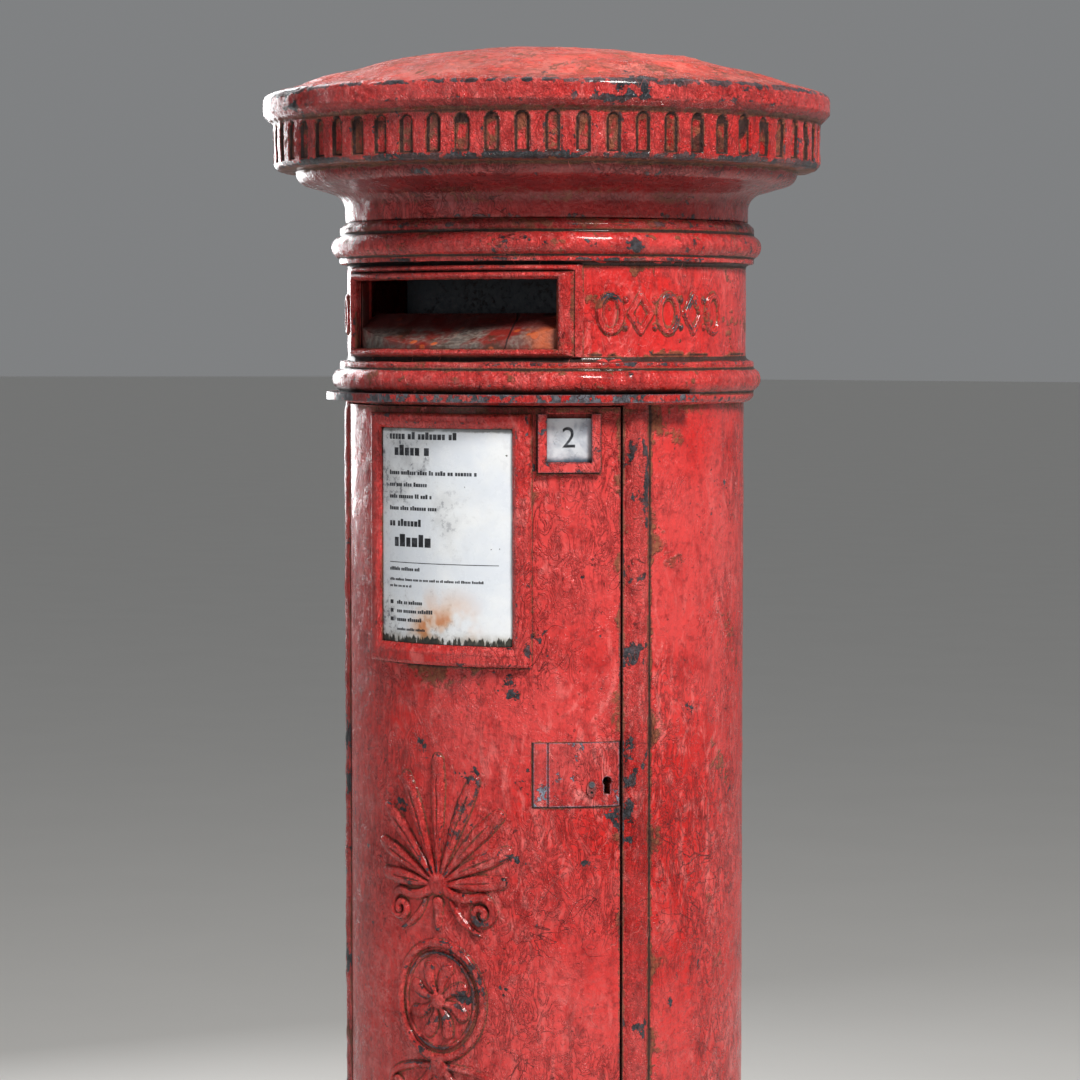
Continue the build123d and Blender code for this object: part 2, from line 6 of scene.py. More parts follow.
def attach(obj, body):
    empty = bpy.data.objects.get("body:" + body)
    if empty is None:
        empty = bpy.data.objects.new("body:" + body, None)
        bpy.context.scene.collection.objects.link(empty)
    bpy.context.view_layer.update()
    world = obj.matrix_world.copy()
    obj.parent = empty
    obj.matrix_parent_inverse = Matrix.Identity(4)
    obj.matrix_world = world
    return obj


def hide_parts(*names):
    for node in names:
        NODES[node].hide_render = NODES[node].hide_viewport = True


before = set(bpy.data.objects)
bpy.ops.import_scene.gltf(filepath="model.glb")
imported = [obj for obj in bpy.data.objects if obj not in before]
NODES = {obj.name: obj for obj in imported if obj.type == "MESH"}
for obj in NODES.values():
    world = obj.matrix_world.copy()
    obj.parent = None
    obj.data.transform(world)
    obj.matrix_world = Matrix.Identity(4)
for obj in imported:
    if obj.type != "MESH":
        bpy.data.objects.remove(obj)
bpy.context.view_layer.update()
MM = 0.001
ZL = 1260.0
A_FLAP = 44.3


def srgb(r, g, b):
    def f(c):
        c /= 255.0
        return c / 12.92 if c <= 0.04045 else ((c + 0.055) / 1.055) ** 2.4
    return (f(r), f(g), f(b), 1.0)


# ---------------------------------------------------------------- materials
class Mat:
    """A small helper that writes shader nodes."""

    def __init__(s, name):
        s.m = bpy.data.materials.new(name)
        s.m.use_nodes = True
        s.t = s.m.node_tree
        s.t.nodes.clear()
        s.out = s.n("ShaderNodeOutputMaterial")
        s.b = s.n("ShaderNodeBsdfPrincipled")
        s.l(s.b.outputs[0], s.out.inputs[0])
        s.co = s.n("ShaderNodeTexCoord").outputs["Object"]

    def n(s, kind, **props):
        node = s.t.nodes.new(kind)
        for k, v in props.items():
            setattr(node, k, v)
        return node

    def l(s, a, b):
        s.t.links.new(a, b)

    def put(s, socket, v):
        if v is None:
            return
        if isinstance(v, bpy.types.NodeSocket):
            s.l(v, socket)
        else:
            socket.default_value = v

    def stretch(s, x, y, z, vec=None):
        node = s.n("ShaderNodeMapping")
        s.l(vec or s.co, node.inputs["Vector"])
        node.inputs["Scale"].default_value = (x, y, z)
        return node.outputs[0]

    def noise(s, scale, detail=2.0, rough=0.5, dist=0.0, vec=None):
        node = s.n("ShaderNodeTexNoise")
        s.l(vec or s.co, node.inputs["Vector"])
        node.inputs["Scale"].default_value = scale
        node.inputs["Detail"].default_value = detail
        node.inputs["Roughness"].default_value = rough
        node.inputs["Distortion"].default_value = dist
        return node.outputs["Fac"]

    def voronoi(s, scale, feature="F1", rand=1.0, vec=None, out="Distance"):
        node = s.n("ShaderNodeTexVoronoi", feature=feature)
        s.l(vec or s.co, node.inputs["Vector"])
        node.inputs["Scale"].default_value = scale
        node.inputs["Randomness"].default_value = rand
        return node.outputs[out]

    def math(s, op, a, b=None, clamp=False):
        node = s.n("ShaderNodeMath", operation=op, use_clamp=clamp)
        s.put(node.inputs[0], a)
        s.put(node.inputs[1], b)
        return node.outputs[0]

    def add(s, a, b, clamp=False):
        return s.math("ADD", a, b, clamp)

    def mul(s, a, b, clamp=False):
        return s.math("MULTIPLY", a, b, clamp)

    def sub(s, a, b, clamp=False):
        return s.math("SUBTRACT", a, b, clamp)

    def mx(s, a, b):
        return s.math("MAXIMUM", a, b)

    def ramp(s, x, lo, hi, a=0.0, b=1.0):
        node = s.n("ShaderNodeMapRange", interpolation_type="SMOOTHSTEP")
        s.l(x, node.inputs[0])
        for i, v in zip((1, 2, 3, 4), (lo, hi, a, b)):
            node.inputs[i].default_value = v
        return node.outputs[0]

    def mix(s, f, a, b, mode="MIX"):
        node = s.n("ShaderNodeMix", data_type="RGBA", blend_type=mode)
        s.put(node.inputs[0], f)
        s.put(node.inputs[6], a)
        s.put(node.inputs[7], b)
        return node.outputs[2]

    def mixf(s, f, a, b):
        node = s.n("ShaderNodeMix", data_type="FLOAT")
        s.put(node.inputs[0], f)
        s.put(node.inputs[2], a)
        s.put(node.inputs[3], b)
        return node.outputs[0]

    def attr(s, name):
        return s.n("ShaderNodeAttribute", attribute_name=name).outputs["Fac"]

    def xyz(s):
        node = s.n("ShaderNodeSeparateXYZ")
        s.l(s.co, node.inputs[0])
        return node.outputs

    def edge(s, radius):
        """0 on flats, rising to 1 on edges rounder than radius."""
        bev = s.n("ShaderNodeBevel", samples=4)
        bev.inputs["Radius"].default_value = radius
        geo = s.n("ShaderNodeNewGeometry")
        dot = s.n("ShaderNodeVectorMath", operation="DOT_PRODUCT")
        s.l(bev.outputs[0], dot.inputs[0])
        s.l(geo.outputs["Normal"], dot.inputs[1])
        return s.sub(1.0, dot.outputs["Value"], True)

    def cavity(s, dist):
        """0 in the open, rising to 1 deep in a corner."""
        ao = s.n("ShaderNodeAmbientOcclusion", samples=4)
        ao.inputs["Distance"].default_value = dist
        return s.sub(1.0, ao.outputs["AO"], True)

    def normal_z(s):
        geo = s.n("ShaderNodeNewGeometry")
        sep = s.n("ShaderNodeSeparateXYZ")
        s.l(geo.outputs["Normal"], sep.inputs[0])
        return sep.outputs["Z"]

    def bump(s, height, dist, strength=1.0, normal=None):
        node = s.n("ShaderNodeBump")
        node.inputs["Strength"].default_value = strength
        node.inputs["Distance"].default_value = dist
        s.l(height, node.inputs["Height"])
        if normal is not None:
            s.l(normal, node.inputs["Normal"])
        return node.outputs[0]

    def finish(s, color, rough, normal=None, metallic=None, coat=0.0, coat_rough=0.1, spec=0.5):
        s.put(s.b.inputs["Base Color"], color)
        s.put(s.b.inputs["Roughness"], rough)
        if normal is not None:
            s.l(normal, s.b.inputs["Normal"])
        s.put(s.b.inputs["Metallic"], metallic)
        s.b.inputs["Coat Weight"].default_value = coat
        s.b.inputs["Coat Roughness"].default_value = coat_rough
        s.b.inputs["Specular IOR Level"].default_value = spec
        return s.m


def paint(name, main, faded, deep, chip=(34, 35, 40), peel=1.0, dirt_amount=1.0, dome=None, gloss=0.2, chips=1.0, brown=(84, 56, 32), bias=0.0, dots=()):
    """Thick old brush-painted enamel on cast iron: lumps, brush marks, fade, grime in the corners, chipped edges,
    stains; also painted shade under the overhangs and in creases, and a painted highlight along rounded edges.
    """
    s = Mat(name)
    xyz = s.xyz()
    edge, cav, crease_shade = s.edge(0.0022), s.cavity(0.03), s.cavity(0.0065)
    wear_at, dirt_at, bare_at = s.attr("wear"), s.attr("dirt"), s.attr("bare")
    painted_shade_at, crinkle_at = s.attr("shade"), s.attr("crinkle")
    big, mid, fine = s.noise(5.0, 3, 0.55), s.noise(34.0, 4, 0.62), s.noise(190.0, 3, 0.6)
    blot = s.noise(13.0, 5, 0.68, 0.6)
    col = s.mix(s.ramp(big, 0.36, 0.62), srgb(*main), srgb(*faded))
    col = s.mix(s.mul(s.ramp(blot, 0.47, 0.66), 0.75), col, srgb(*faded))
    col = s.mix(s.mul(s.ramp(s.noise(21.0, 5, 0.7, 0.4), 0.52, 0.70), 0.65), col, srgb(*deep))
    # pink scuffs drawn out along slanting wipes, and a fine mottle under everything
    scuff = s.mul(s.ramp(s.noise(1.0, 5, 0.72, 1.6, s.stretch(46, 46, 20)), 0.50, 0.64), s.ramp(s.noise(6.0, 2, 0.5), 0.38, 0.58))
    col = s.mix(s.mul(scuff, 0.78), col, srgb(min(255, faded[0] + 14), faded[1] + 40, faded[2] + 38))
    dull = s.ramp(s.noise(1.0, 5, 0.74, 1.0, s.stretch(30, 30, 14)), 0.54, 0.70)
    col = s.mix(s.mul(dull, 0.55), col, srgb(*[int(c * 0.82) for c in deep]))
    col = s.mix(s.ramp(s.noise(120.0, 4, 0.72), 0.48, 0.70, 0.0, 0.50), col, srgb(*[int(c * 0.66) for c in deep]))
    top = None
    if dome:
        top = s.mul(s.ramp(xyz["Z"], 1.547, 1.556), s.ramp(s.normal_z(), 0.35, 0.8))
        topc = s.mix(s.ramp(s.noise(26.0, 5, 0.7), 0.42, 0.64), srgb(*dome), srgb(226, 112, 96))
        topc = s.mix(s.ramp(s.noise(95.0, 4, 0.72), 0.50, 0.70, 0.0, 0.5), topc, srgb(176, 46, 40))
        col = s.mix(s.mul(top, 0.9), col, topc)
    # vertical run-off streaks
    streak = s.noise(1.0, 5, 0.62, 0.5, s.stretch(70, 70, 6))
    col = s.mix(s.mul(s.ramp(streak, 0.54, 0.74), 0.32 * dirt_amount), col, srgb(112, 30, 28))
    # painted shade: paint under the cap and the mouldings, where their shadow falls, is darkened to a deep maroon
    col = s.mix(s.mul(painted_shade_at, 0.88), col, s.mix(s.ramp(blot, 0.38, 0.64), srgb(104, 20, 24), srgb(136, 34, 36)))
    # grime: open corners, the dirt painted on by each piece, and loose patches
    patch = s.mul(s.ramp(s.noise(9.0, 6, 0.72, 0.8), 0.63, 0.69), s.ramp(mid, 0.38, 0.56))
    if top is not None:
        patch = s.add(patch, s.mul(top, s.mul(s.ramp(s.noise(30.0, 6, 0.74, 0.6), 0.53, 0.62), 0.8)), True)
    torn = s.ramp(s.add(s.mul(mid, 0.6), s.mul(fine, 0.4)), 0.42, 0.60)
    grime = s.add(s.mul(s.ramp(cav, 0.30, 0.80), s.ramp(mid, 0.3, 0.6, 0.3, 1.0)), s.ramp(s.add(dirt_at, s.mul(s.sub(torn, 0.5), 0.55)), 0.34, 0.80), True)
    grime = s.mul(s.add(grime, s.mul(patch, 0.8), True), dirt_amount, True)
    dirt_col = s.mix(s.ramp(fine, 0.38, 0.66), srgb(*brown), srgb(*[int(c * 1.35 + 8) for c in brown]))
    col = s.mix(s.mul(grime, 0.80), col, dirt_col)
    # near-black line in the creases: painted crease shade from a short occlusion test, plus the dark joints and grooves
    # that the pieces mark in their dirt attribute
    line = s.add(s.mul(s.ramp(crease_shade, 0.34, 0.72), 0.9), s.mul(s.ramp(dirt_at, 0.82, 1.0), 0.85), True)
    # knocked edges: bare iron with a rusty rim
    e = s.add(s.ramp(edge, 0.02, 0.22), wear_at, True)
    e = s.mul(s.mul(e, s.sub(1.0, s.ramp(cav, 0.35, 0.7))), s.sub(1.0, line))
    chipn = s.add(s.mul(s.noise(105.0, 4, 0.70, 0.3), 0.55), s.mul(s.noise(19.0, 3, 0.55), 0.45))
    score = s.add(s.add(s.add(chipn, bias), s.mul(e, 0.13 * chips)), s.mul(bare_at, 0.17))
    rim = s.ramp(score, 0.640, 0.656)
    bare = s.ramp(score, 0.652, 0.664)
    col = s.mix(s.mul(rim, 0.8), col, srgb(104, 40, 34))
    col = s.mix(bare, col, s.mix(s.ramp(fine, 0.35, 0.7), srgb(*chip), srgb(*[min(255, int(c * 1.5 + 22)) for c in chip])))
    # lighter pink along rounded edges: paint rubbed thin there, and a painted edge highlight
    col = s.mix(s.mul(s.mul(e, s.ramp(mid, 0.4, 0.7)), 0.30), col, srgb(232, 120, 112))
    # the near-black line goes on last: partly painted crease shade, partly dark joints
    col = s.mix(line, col, srgb(24, 13, 15))
    # cracks and hair scratches: thin contour lines of a warped noise, only in places
    n1 = s.math("ABSOLUTE", s.sub(s.noise(17.0, 3, 0.55, 1.2), 0.5))
    crack = s.mul(s.ramp(n1, 0.0055, 0.0015), s.ramp(s.noise(7.0, 2, 0.5), 0.55, 0.60))
    n2 = s.math("ABSOLUTE", s.sub(s.noise(1.0, 2, 0.45, 0.25, s.stretch(42, 30, 13, None)), 0.5))
    scr = s.mul(s.ramp(n2, 0.0040, 0.0012), s.ramp(s.noise(12.0, 3, 0.6), 0.54, 0.60))
    col = s.mix(s.mul(crack, 0.75), col, srgb(70, 14, 16))
    col = s.mix(s.mul(scr, 0.6), col, srgb(226, 118, 110))
    # rust freckles
    spot = s.mul(s.ramp(s.voronoi(110.0), 0.17, 0.09), s.ramp(s.noise(10.0, 3, 0.5), 0.60, 0.68))
    col = s.mix(s.mul(spot, 0.75), col, srgb(122, 52, 26))
    # small dark pits where flakes have come off the top coat
    pit = s.mul(s.ramp(s.noise(82.0, 4, 0.74, 0.5), 0.655, 0.695), s.ramp(s.noise(5.5, 3, 0.55), 0.40, 0.54))
    col = s.mix(s.mul(pit, 0.80), col, srgb(86, 16, 18))
    rough = s.add(s.ramp(s.noise(52.0, 3, 0.6), 0.32, 0.68, gloss, gloss + 0.2), s.mul(grime, 0.45), True)
    rough = s.add(rough, s.mul(bare, 0.12), True)
    rough = s.sub(rough, s.mul(crinkle_at, 0.05), True)
    # relief: lumps where many coats sit, flat where they were rubbed down, brush strokes, chipped pits
    zone = s.ramp(s.noise(8.0, 3, 0.6), 0.42, 0.62, 0.34, 1.0)
    zone = s.add(zone, s.mul(s.add(e, grime), 0.7), True)
    zone = s.add(zone, s.mul(crinkle_at, 0.25))
    cell = s.voronoi(210.0, "SMOOTH_F1")
    h = s.mul(s.add(s.mul(cell, 0.62), s.mul(s.noise(120.0, 3, 0.6, 0.4), 1.45)), zone)
    h = s.add(h, s.mul(s.noise(44.0, 2, 0.5), 1.2))
    brush = s.noise(1.0, 3, 0.55, 1.8, s.stretch(150, 150, 34))
    h = s.add(h, s.mul(s.mul(brush, 1.1), s.ramp(s.noise(9.0, 2, 0.5), 0.40, 0.56)))
    # wrinkles: sharp ridges of a warped noise, dragged downwards on the flats and tight on the mouldings
    w1 = s.math("ABSOLUTE", s.sub(s.noise(1.0, 4, 0.60, 2.4, s.stretch(64, 64, 30)), 0.5))
    h = s.add(h, s.mul(s.ramp(w1, 0.065, 0.0), s.ramp(s.noise(6.5, 3, 0.55), 0.42, 0.58, 0.15, 1.15)))
    w2 = s.math("ABSOLUTE", s.sub(s.noise(1.0, 4, 0.62, 1.6, s.stretch(150, 150, 105)), 0.5))
    h = s.add(h, s.mul(s.ramp(w2, 0.110, 0.0), s.mul(crinkle_at, 0.62)))
    h = s.sub(h, s.mul(rim, 0.8))
    h = s.sub(h, s.add(s.add(s.mul(crack, 0.8), s.mul(scr, 0.35)), s.mul(pit, 0.7)))
    h = s.add(h, s.mul(grime, s.mul(fine, 1.1)))
    for (px, py, pz, pr) in dots:
        d2 = s.add(s.add(s.math("POWER", s.sub(xyz["X"], px), 2.0), s.math("POWER", s.sub(xyz["Y"], py), 2.0)), s.math("POWER", s.sub(xyz["Z"], pz), 2.0))
        dot = s.ramp(d2, pr * pr * 1.5, pr * pr * 0.8)
        col = s.mix(dot, col, srgb(20, 14, 15))
        h = s.sub(h, s.mul(dot, 0.8))
    normal = s.bump(h, 0.0014 * peel, 1.0)
    return s.finish(col, rough, normal, coat=0.30, coat_rough=0.12, spec=0.38)


def metal(name, base, light, rust=(112, 62, 34), rust_amount=0.3, rough=(0.35, 0.6), metallic=0.9, bump=0.00012, scale=160.0):
    s = Mat(name)
    edge, cav = s.edge(0.0012), s.cavity(0.012)
    big, mid, fine = s.noise(14.0, 4, 0.6), s.noise(scale, 4, 0.62), s.noise(scale * 4, 3, 0.6)
    col = s.mix(s.ramp(mid, 0.35, 0.7), srgb(*base), srgb(*light))
    col = s.mix(s.mul(s.ramp(edge, 0.03, 0.3), 0.45), col, srgb(*[min(255, int(c * 1.5 + 18)) for c in light]))
    r = s.add(s.ramp(s.add(s.mul(big, 0.5), s.mul(mid, 0.5)), 0.62 - 0.22 * rust_amount, 0.70 - 0.15 * rust_amount), s.mul(s.ramp(cav, 0.3, 0.8), 0.5 * rust_amount + 0.2), True)
    col = s.mix(s.mul(r, 0.85), col, s.mix(s.ramp(fine, 0.4, 0.6), srgb(*rust), srgb(*[int(c * 0.55) for c in rust])))
    rr = s.add(s.ramp(mid, 0.3, 0.7, rough[0], rough[1]), s.mul(r, 0.3), True)
    h = s.add(s.mul(mid, 0.7), s.mul(s.noise(scale * 0.3, 2, 0.5), 0.8))
    h = s.add(h, s.mul(s.mul(r, fine), 1.2))
    return s.finish(col, rr, s.bump(h, bump * 2.5, 1.0), metallic=s.mul(s.sub(1.0, r), metallic), spec=0.5)


RED = paint("paint_red", (200, 30, 27), (212, 66, 64), (160, 18, 20), dome=(222, 66, 46))
RED_IN = paint("paint_red_inside", (118, 16, 18), (132, 30, 30), (84, 12, 14), dirt_amount=1.4, chips=1.3, gloss=0.4)
BARE_RED = paint("paint_red_strip", (176, 24, 24), (196, 58, 54), (134, 16, 18), chip=(52, 52, 58), chips=0.9, bias=0.150, peel=1.2)
LOCK_RED = paint("paint_red_lock", (196, 44, 42), (212, 82, 80), (160, 30, 32), chip=(88, 92, 104), chips=1.6, bias=0.088)
HOLDER_RED = paint("paint_red_holder", (196, 34, 32), (212, 74, 72), (150, 20, 22), chip=(42, 42, 48), chips=2.6, bias=0.080)
FLAP_RED = paint("paint_red_flap", (150, 62, 60), (176, 104, 102), (96, 44, 44), chip=(66, 66, 72), chips=0.7, bias=0.05,
                 dots=((0.19290 * math.sin(math.radians(A_FLAP)), -0.19290 * math.cos(math.radians(A_FLAP)), 0.9105, 0.0013),
                       (0.19290 * math.sin(math.radians(A_FLAP)), -0.19290 * math.cos(math.radians(A_FLAP)), 0.9026, 0.0012)))
BLACK = paint("paint_black", (22, 22, 24), (36, 36, 38), (12, 12, 13), chip=(96, 90, 84), dirt_amount=1.2, gloss=0.32)
IRON = metal("worn_iron", (58, 60, 66), (104, 106, 112), rust_amount=0.55, rough=(0.42, 0.66), metallic=0.75)
DARK = metal("dark_steel", (34, 36, 42), (58, 62, 70), rust_amount=0.35, rough=(0.38, 0.6), metallic=0.7)
STEEL = metal("steel", (120, 122, 126), (158, 160, 164), rust_amount=0.2, rough=(0.28, 0.5), metallic=0.95)
BRASS = metal("brass", (140, 108, 54), (178, 146, 84), rust=(72, 62, 34), rust_amount=0.25, rough=(0.3, 0.5), metallic=0.95)
# the hood plate's dark blue-grey is partly painted shade: it is set darker to stand for the shade inside the aperture
HOOD = metal("slate_plate", (24, 28, 34), (44, 50, 58), rust=(58, 40, 34), rust_amount=0.35, rough=(0.45, 0.7), metallic=0.15)


def sill_mat():
    """The sloping sill: grey bare metal worn through dull red paint, orange rust spots, a scuffed line."""
    s = Mat("chute_sill")
    xyz = s.xyz()
    big, mid, fine = s.noise(16.0, 4, 0.6), s.noise(60.0, 4, 0.65), s.noise(240.0, 3, 0.6)
    back = s.ramp(xyz["Y"], -0.165, -0.150)
    worn = s.ramp(s.add(s.mul(big, 0.7), s.mul(mid, 0.3)), 0.40, 0.56)
    col = s.mix(worn, srgb(132, 40, 34), s.mix(s.ramp(fine, 0.35, 0.65), srgb(92, 84, 80), srgb(132, 122, 114)))
    col = s.mix(s.mul(s.ramp(s.noise(34.0, 5, 0.7), 0.52, 0.62), 0.8), col, srgb(74, 52, 40))
    rust = s.mul(s.ramp(s.voronoi(70.0), 0.34, 0.16), s.ramp(s.noise(15.0, 2, 0.5), 0.50, 0.60))
    rust = s.add(rust, s.mul(s.ramp(xyz["X"], 0.072, 0.100), s.ramp(mid, 0.4, 0.6, 0.4, 1.0)), True)
    col = s.mix(s.mul(rust, 0.85), col, srgb(196, 88, 40))
    col = s.mix(s.mul(back, 0.85), col, srgb(86, 22, 22))
    n1 = s.math("ABSOLUTE", s.sub(s.noise(9.0, 2, 0.4, 0.4), 0.5))
    line = s.ramp(n1, 0.010, 0.004)
    col = s.mix(s.mul(line, 0.8), col, srgb(30, 22, 22))
    h = s.add(s.mul(s.noise(90.0, 3, 0.6), 1.0), s.mul(s.mul(rust, fine), 1.2))
    h = s.sub(h, s.mul(line, 0.8))
    return s.finish(col, s.ramp(mid, 0.3, 0.7, 0.34, 0.62), s.bump(h, 0.0005, 1.0), metallic=s.mul(s.sub(1.0, rust), 0.12))


def notice_mat():
    """White enamelled notice: grey weathering, orange rust stains low in the middle, dark chips along the bottom edge,
    a painted shadow with some grime along the top edge.
    """
    s = Mat("notice_enamel")
    xyz = s.xyz()
    mid, fine = s.noise(48.0, 5, 0.7), s.noise(260.0, 3, 0.6)
    big = s.noise(15.0, 4, 0.6, 0.3)
    col = s.mix(s.ramp(big, 0.35, 0.65), srgb(226, 232, 240), srgb(243, 246, 248))
    # grey worn cloud, heavier at upper left and in a drift across the middle
    cloud = s.mul(s.ramp(s.add(s.mul(big, 0.6), s.mul(mid, 0.4)), 0.46, 0.60), s.ramp(xyz["X"], 0.055, -0.03, 0.15, 1.0))
    speck = s.ramp(s.noise(170.0, 4, 0.7), 0.50, 0.62)
    col = s.mix(s.mul(cloud, s.add(s.mul(speck, 0.62), 0.36)), col, srgb(112, 116, 126))
    zlow = s.ramp(xyz["Z"], 1.10, 1.05)
    rustn = s.ramp(s.noise(24.0, 3, 0.55), 0.47, 0.66)
    midx = s.mul(s.ramp(xyz["X"], -0.045, -0.01), s.ramp(xyz["X"], 0.055, 0.02))
    stain = s.mul(s.mul(zlow, rustn), midx)
    col = s.mix(s.mul(stain, 0.75), col, srgb(226, 158, 84))
    col = s.mix(s.mul(s.ramp(stain, 0.62, 0.95), 0.65), col, srgb(196, 106, 40))
    low = s.ramp(xyz["Z"], 1.052, 1.038)
    col = s.mix(s.mul(low, s.ramp(mid, 0.35, 0.6, 0.2, 0.8)), col, srgb(132, 122, 96))
    # chips: dark teeth along the bottom edge; along the top edge a painted shadow of the frame with some grime
    teeth = s.noise(1.0, 4, 0.7, 0.2, s.stretch(260, 260, 34))
    tb = s.ramp(s.add(s.add(s.mul(teeth, 0.7), s.mul(s.noise(22.0, 3, 0.6), 0.45)), s.ramp(xyz["Z"], 1.0560, 1.0378, -0.25, 0.26)), 0.74, 0.79)
    tt = s.mul(s.ramp(s.add(s.mul(mid, 0.6), s.ramp(xyz["Z"], 1.2285, 1.2375, -0.2, 0.45)), 0.45, 0.70), 0.75)
    chip = s.add(tb, tt, True)
    chip = s.add(chip, s.ramp(s.add(s.noise(95.0, 4, 0.7), s.mul(s.edge(0.0015), 0.25)), 0.70, 0.715), True)
    col = s.mix(chip, col, s.mix(s.ramp(fine, 0.4, 0.6), srgb(30, 34, 32), srgb(58, 56, 46)))
    # painted shade: grey in the corners where the frame meets the plate, from an occlusion test
    cav = s.cavity(0.012)
    col = s.mix(s.mul(s.ramp(cav, 0.3, 0.8), 0.55), col, srgb(60, 56, 56))
    h = s.sub(s.mul(s.noise(60.0, 2, 0.5), 0.8), s.mul(chip, 0.8))
    return s.finish(col, s.add(s.ramp(mid, 0.3, 0.7, 0.2, 0.42), s.mul(chip, 0.35), True), s.bump(h, 0.0003, 1.0), coat=0.3)


def tablet_mat():
    """Silvered tablet, cloudy and darker at its foot."""
    s = Mat("tablet_silver")
    xyz = s.xyz()
    mid, fine = s.noise(70.0, 5, 0.7), s.noise(300.0, 3, 0.6)
    cloud = s.noise(42.0, 4, 0.6, 0.5)
    col = s.mix(s.ramp(cloud, 0.36, 0.6), srgb(178, 184, 196), srgb(226, 230, 236))
    foot = s.ramp(s.add(xyz["Z"], s.mul(mid, 0.006)), 1.2165, 1.2105)
    col = s.mix(foot, col, srgb(84, 106, 124))
    # painted shade: dark grey in the tablet's corners, from an occlusion test
    col = s.mix(s.mul(s.ramp(s.cavity(0.008), 0.25, 0.7), 0.6), col, srgb(50, 50, 56))
    return s.finish(col, s.ramp(mid, 0.3, 0.7, 0.25, 0.5), s.bump(s.add(mid, fine), 0.00012, 1.0), metallic=0.35, coat=0.2)


def ink_mat():
    s = Mat("printed_black")
    n = s.noise(150.0, 4, 0.7)
    col = s.mix(s.ramp(n, 0.44, 0.68), srgb(24, 26, 32), srgb(84, 88, 96))
    return s.finish(col, s.ramp(n, 0.3, 0.7, 0.4, 0.6), s.bump(n, 0.0001, 1.0))


def hollow_black():
    """Grimy dark paint seen inside the keyhole."""
    s = Mat("keyway_dark")
    n = s.noise(260.0, 4, 0.7)
    return s.finish(s.mix(s.ramp(n, 0.4, 0.7), srgb(8, 12, 12), srgb(30, 44, 42)), 0.6, s.bump(n, 0.0002, 1.0))


SILL, NOTICE, TABLET, INK = sill_mat(), notice_mat(), tablet_mat(), ink_mat()
SLOT_MAT = {"paint_red": RED, "paint_black": BLACK, "worn_iron": IRON, "dark_steel": DARK, "steel": STEEL, "brass": BRASS, "enamel_white": NOTICE}
NODE_MAT = {"lock_plate": LOCK_RED, "tablet_holder": HOLDER_RED, "keyhole_drop": FLAP_RED, "letter_chute": SILL, "letter_hood": HOOD, "notice_plate": NOTICE, "number_tablet": TABLET, "drip_strip": BARE_RED}

for name, o in NODES.items():
    old = [m.name for m in o.data.materials if m]
    key = None
    for k in SLOT_MAT:
        if any(k in x for x in old):
            key = k
    o.data.materials.clear()
    o.data.materials.append(NODE_MAT.get(name) or SLOT_MAT[key or "paint_red"])
    if name in ("tablet_holder", "lock_plate", "keyhole_drop", "drip_strip", "number_tablet", "base", "floor_plate", "lock_cover", "lock_case", "lock_keeper"):
        b = o.modifiers.new("soft_edges", "BEVEL")
        b.width, b.segments, b.limit_method, b.angle_limit = (0.0009 if name != "base" else 0.002), 2, "ANGLE", math.radians(38)
        b.use_clamp_overlap = True
        b.harden_normals = False


# ---------------------------------------------------------------- mesh tools
def field(seed, lam, n=12):
    """A smooth random field over space, about -1.5 to 1.5, with features of size lam (mm)."""
    rng = np.random.RandomState(seed)
    k = rng.normal(size=(n, 3))
    k /= np.linalg.norm(k, axis=1)[:, None]
    k *= (2 * np.pi / lam) * rng.uniform(0.65, 1.4, (n, 1))
    ph = rng.uniform(0, 2 * np.pi, n)

    def f(P):
        out = np.zeros(P.shape[:-1])
        for a, b in zip(k, ph):
            out += np.sin(P @ a + b)
        return out * (2.0 / n) ** 0.5 * 0.7
    return f


F60, F22, F10, F6 = field(1, 60), field(2, 24), field(3, 11), field(4, 6.5)


def lumps(P):
    """Height in mm of the lumps that many coats of paint leave on rough cast iron."""
    rough = np.clip(F60(P) * 0.8 + 0.5, 0.15, 1.2)
    return 0.13 * F60(P) + 0.10 * F22(P) + rough * (0.075 * F10(P) + 0.05 * F6(P))


def blur(a, n, wrap=False):
    if a.ndim == 1:
        for _ in range(n):
            p = np.pad(a, 1, mode="edge")
            a = 0.25 * p[:-2] + 0.5 * p[1:-1] + 0.25 * p[2:]
        return a
    a = a.copy()
    for _ in range(n):
        if wrap:
            a = 0.25 * np.roll(a, 1, 0) + 0.5 * a + 0.25 * np.roll(a, -1, 0)
        else:
            p = np.pad(a, ((1, 1), (0, 0)), mode="edge")
            a = 0.25 * p[:-2] + 0.5 * p[1:-1] + 0.25 * p[2:]
        if a.ndim > 1:
            p = np.pad(a, ((0, 0), (1, 1)), mode="edge")
            a = 0.25 * p[:, :-2] + 0.5 * p[:, 1:-1] + 0.25 * p[:, 2:]
    return a


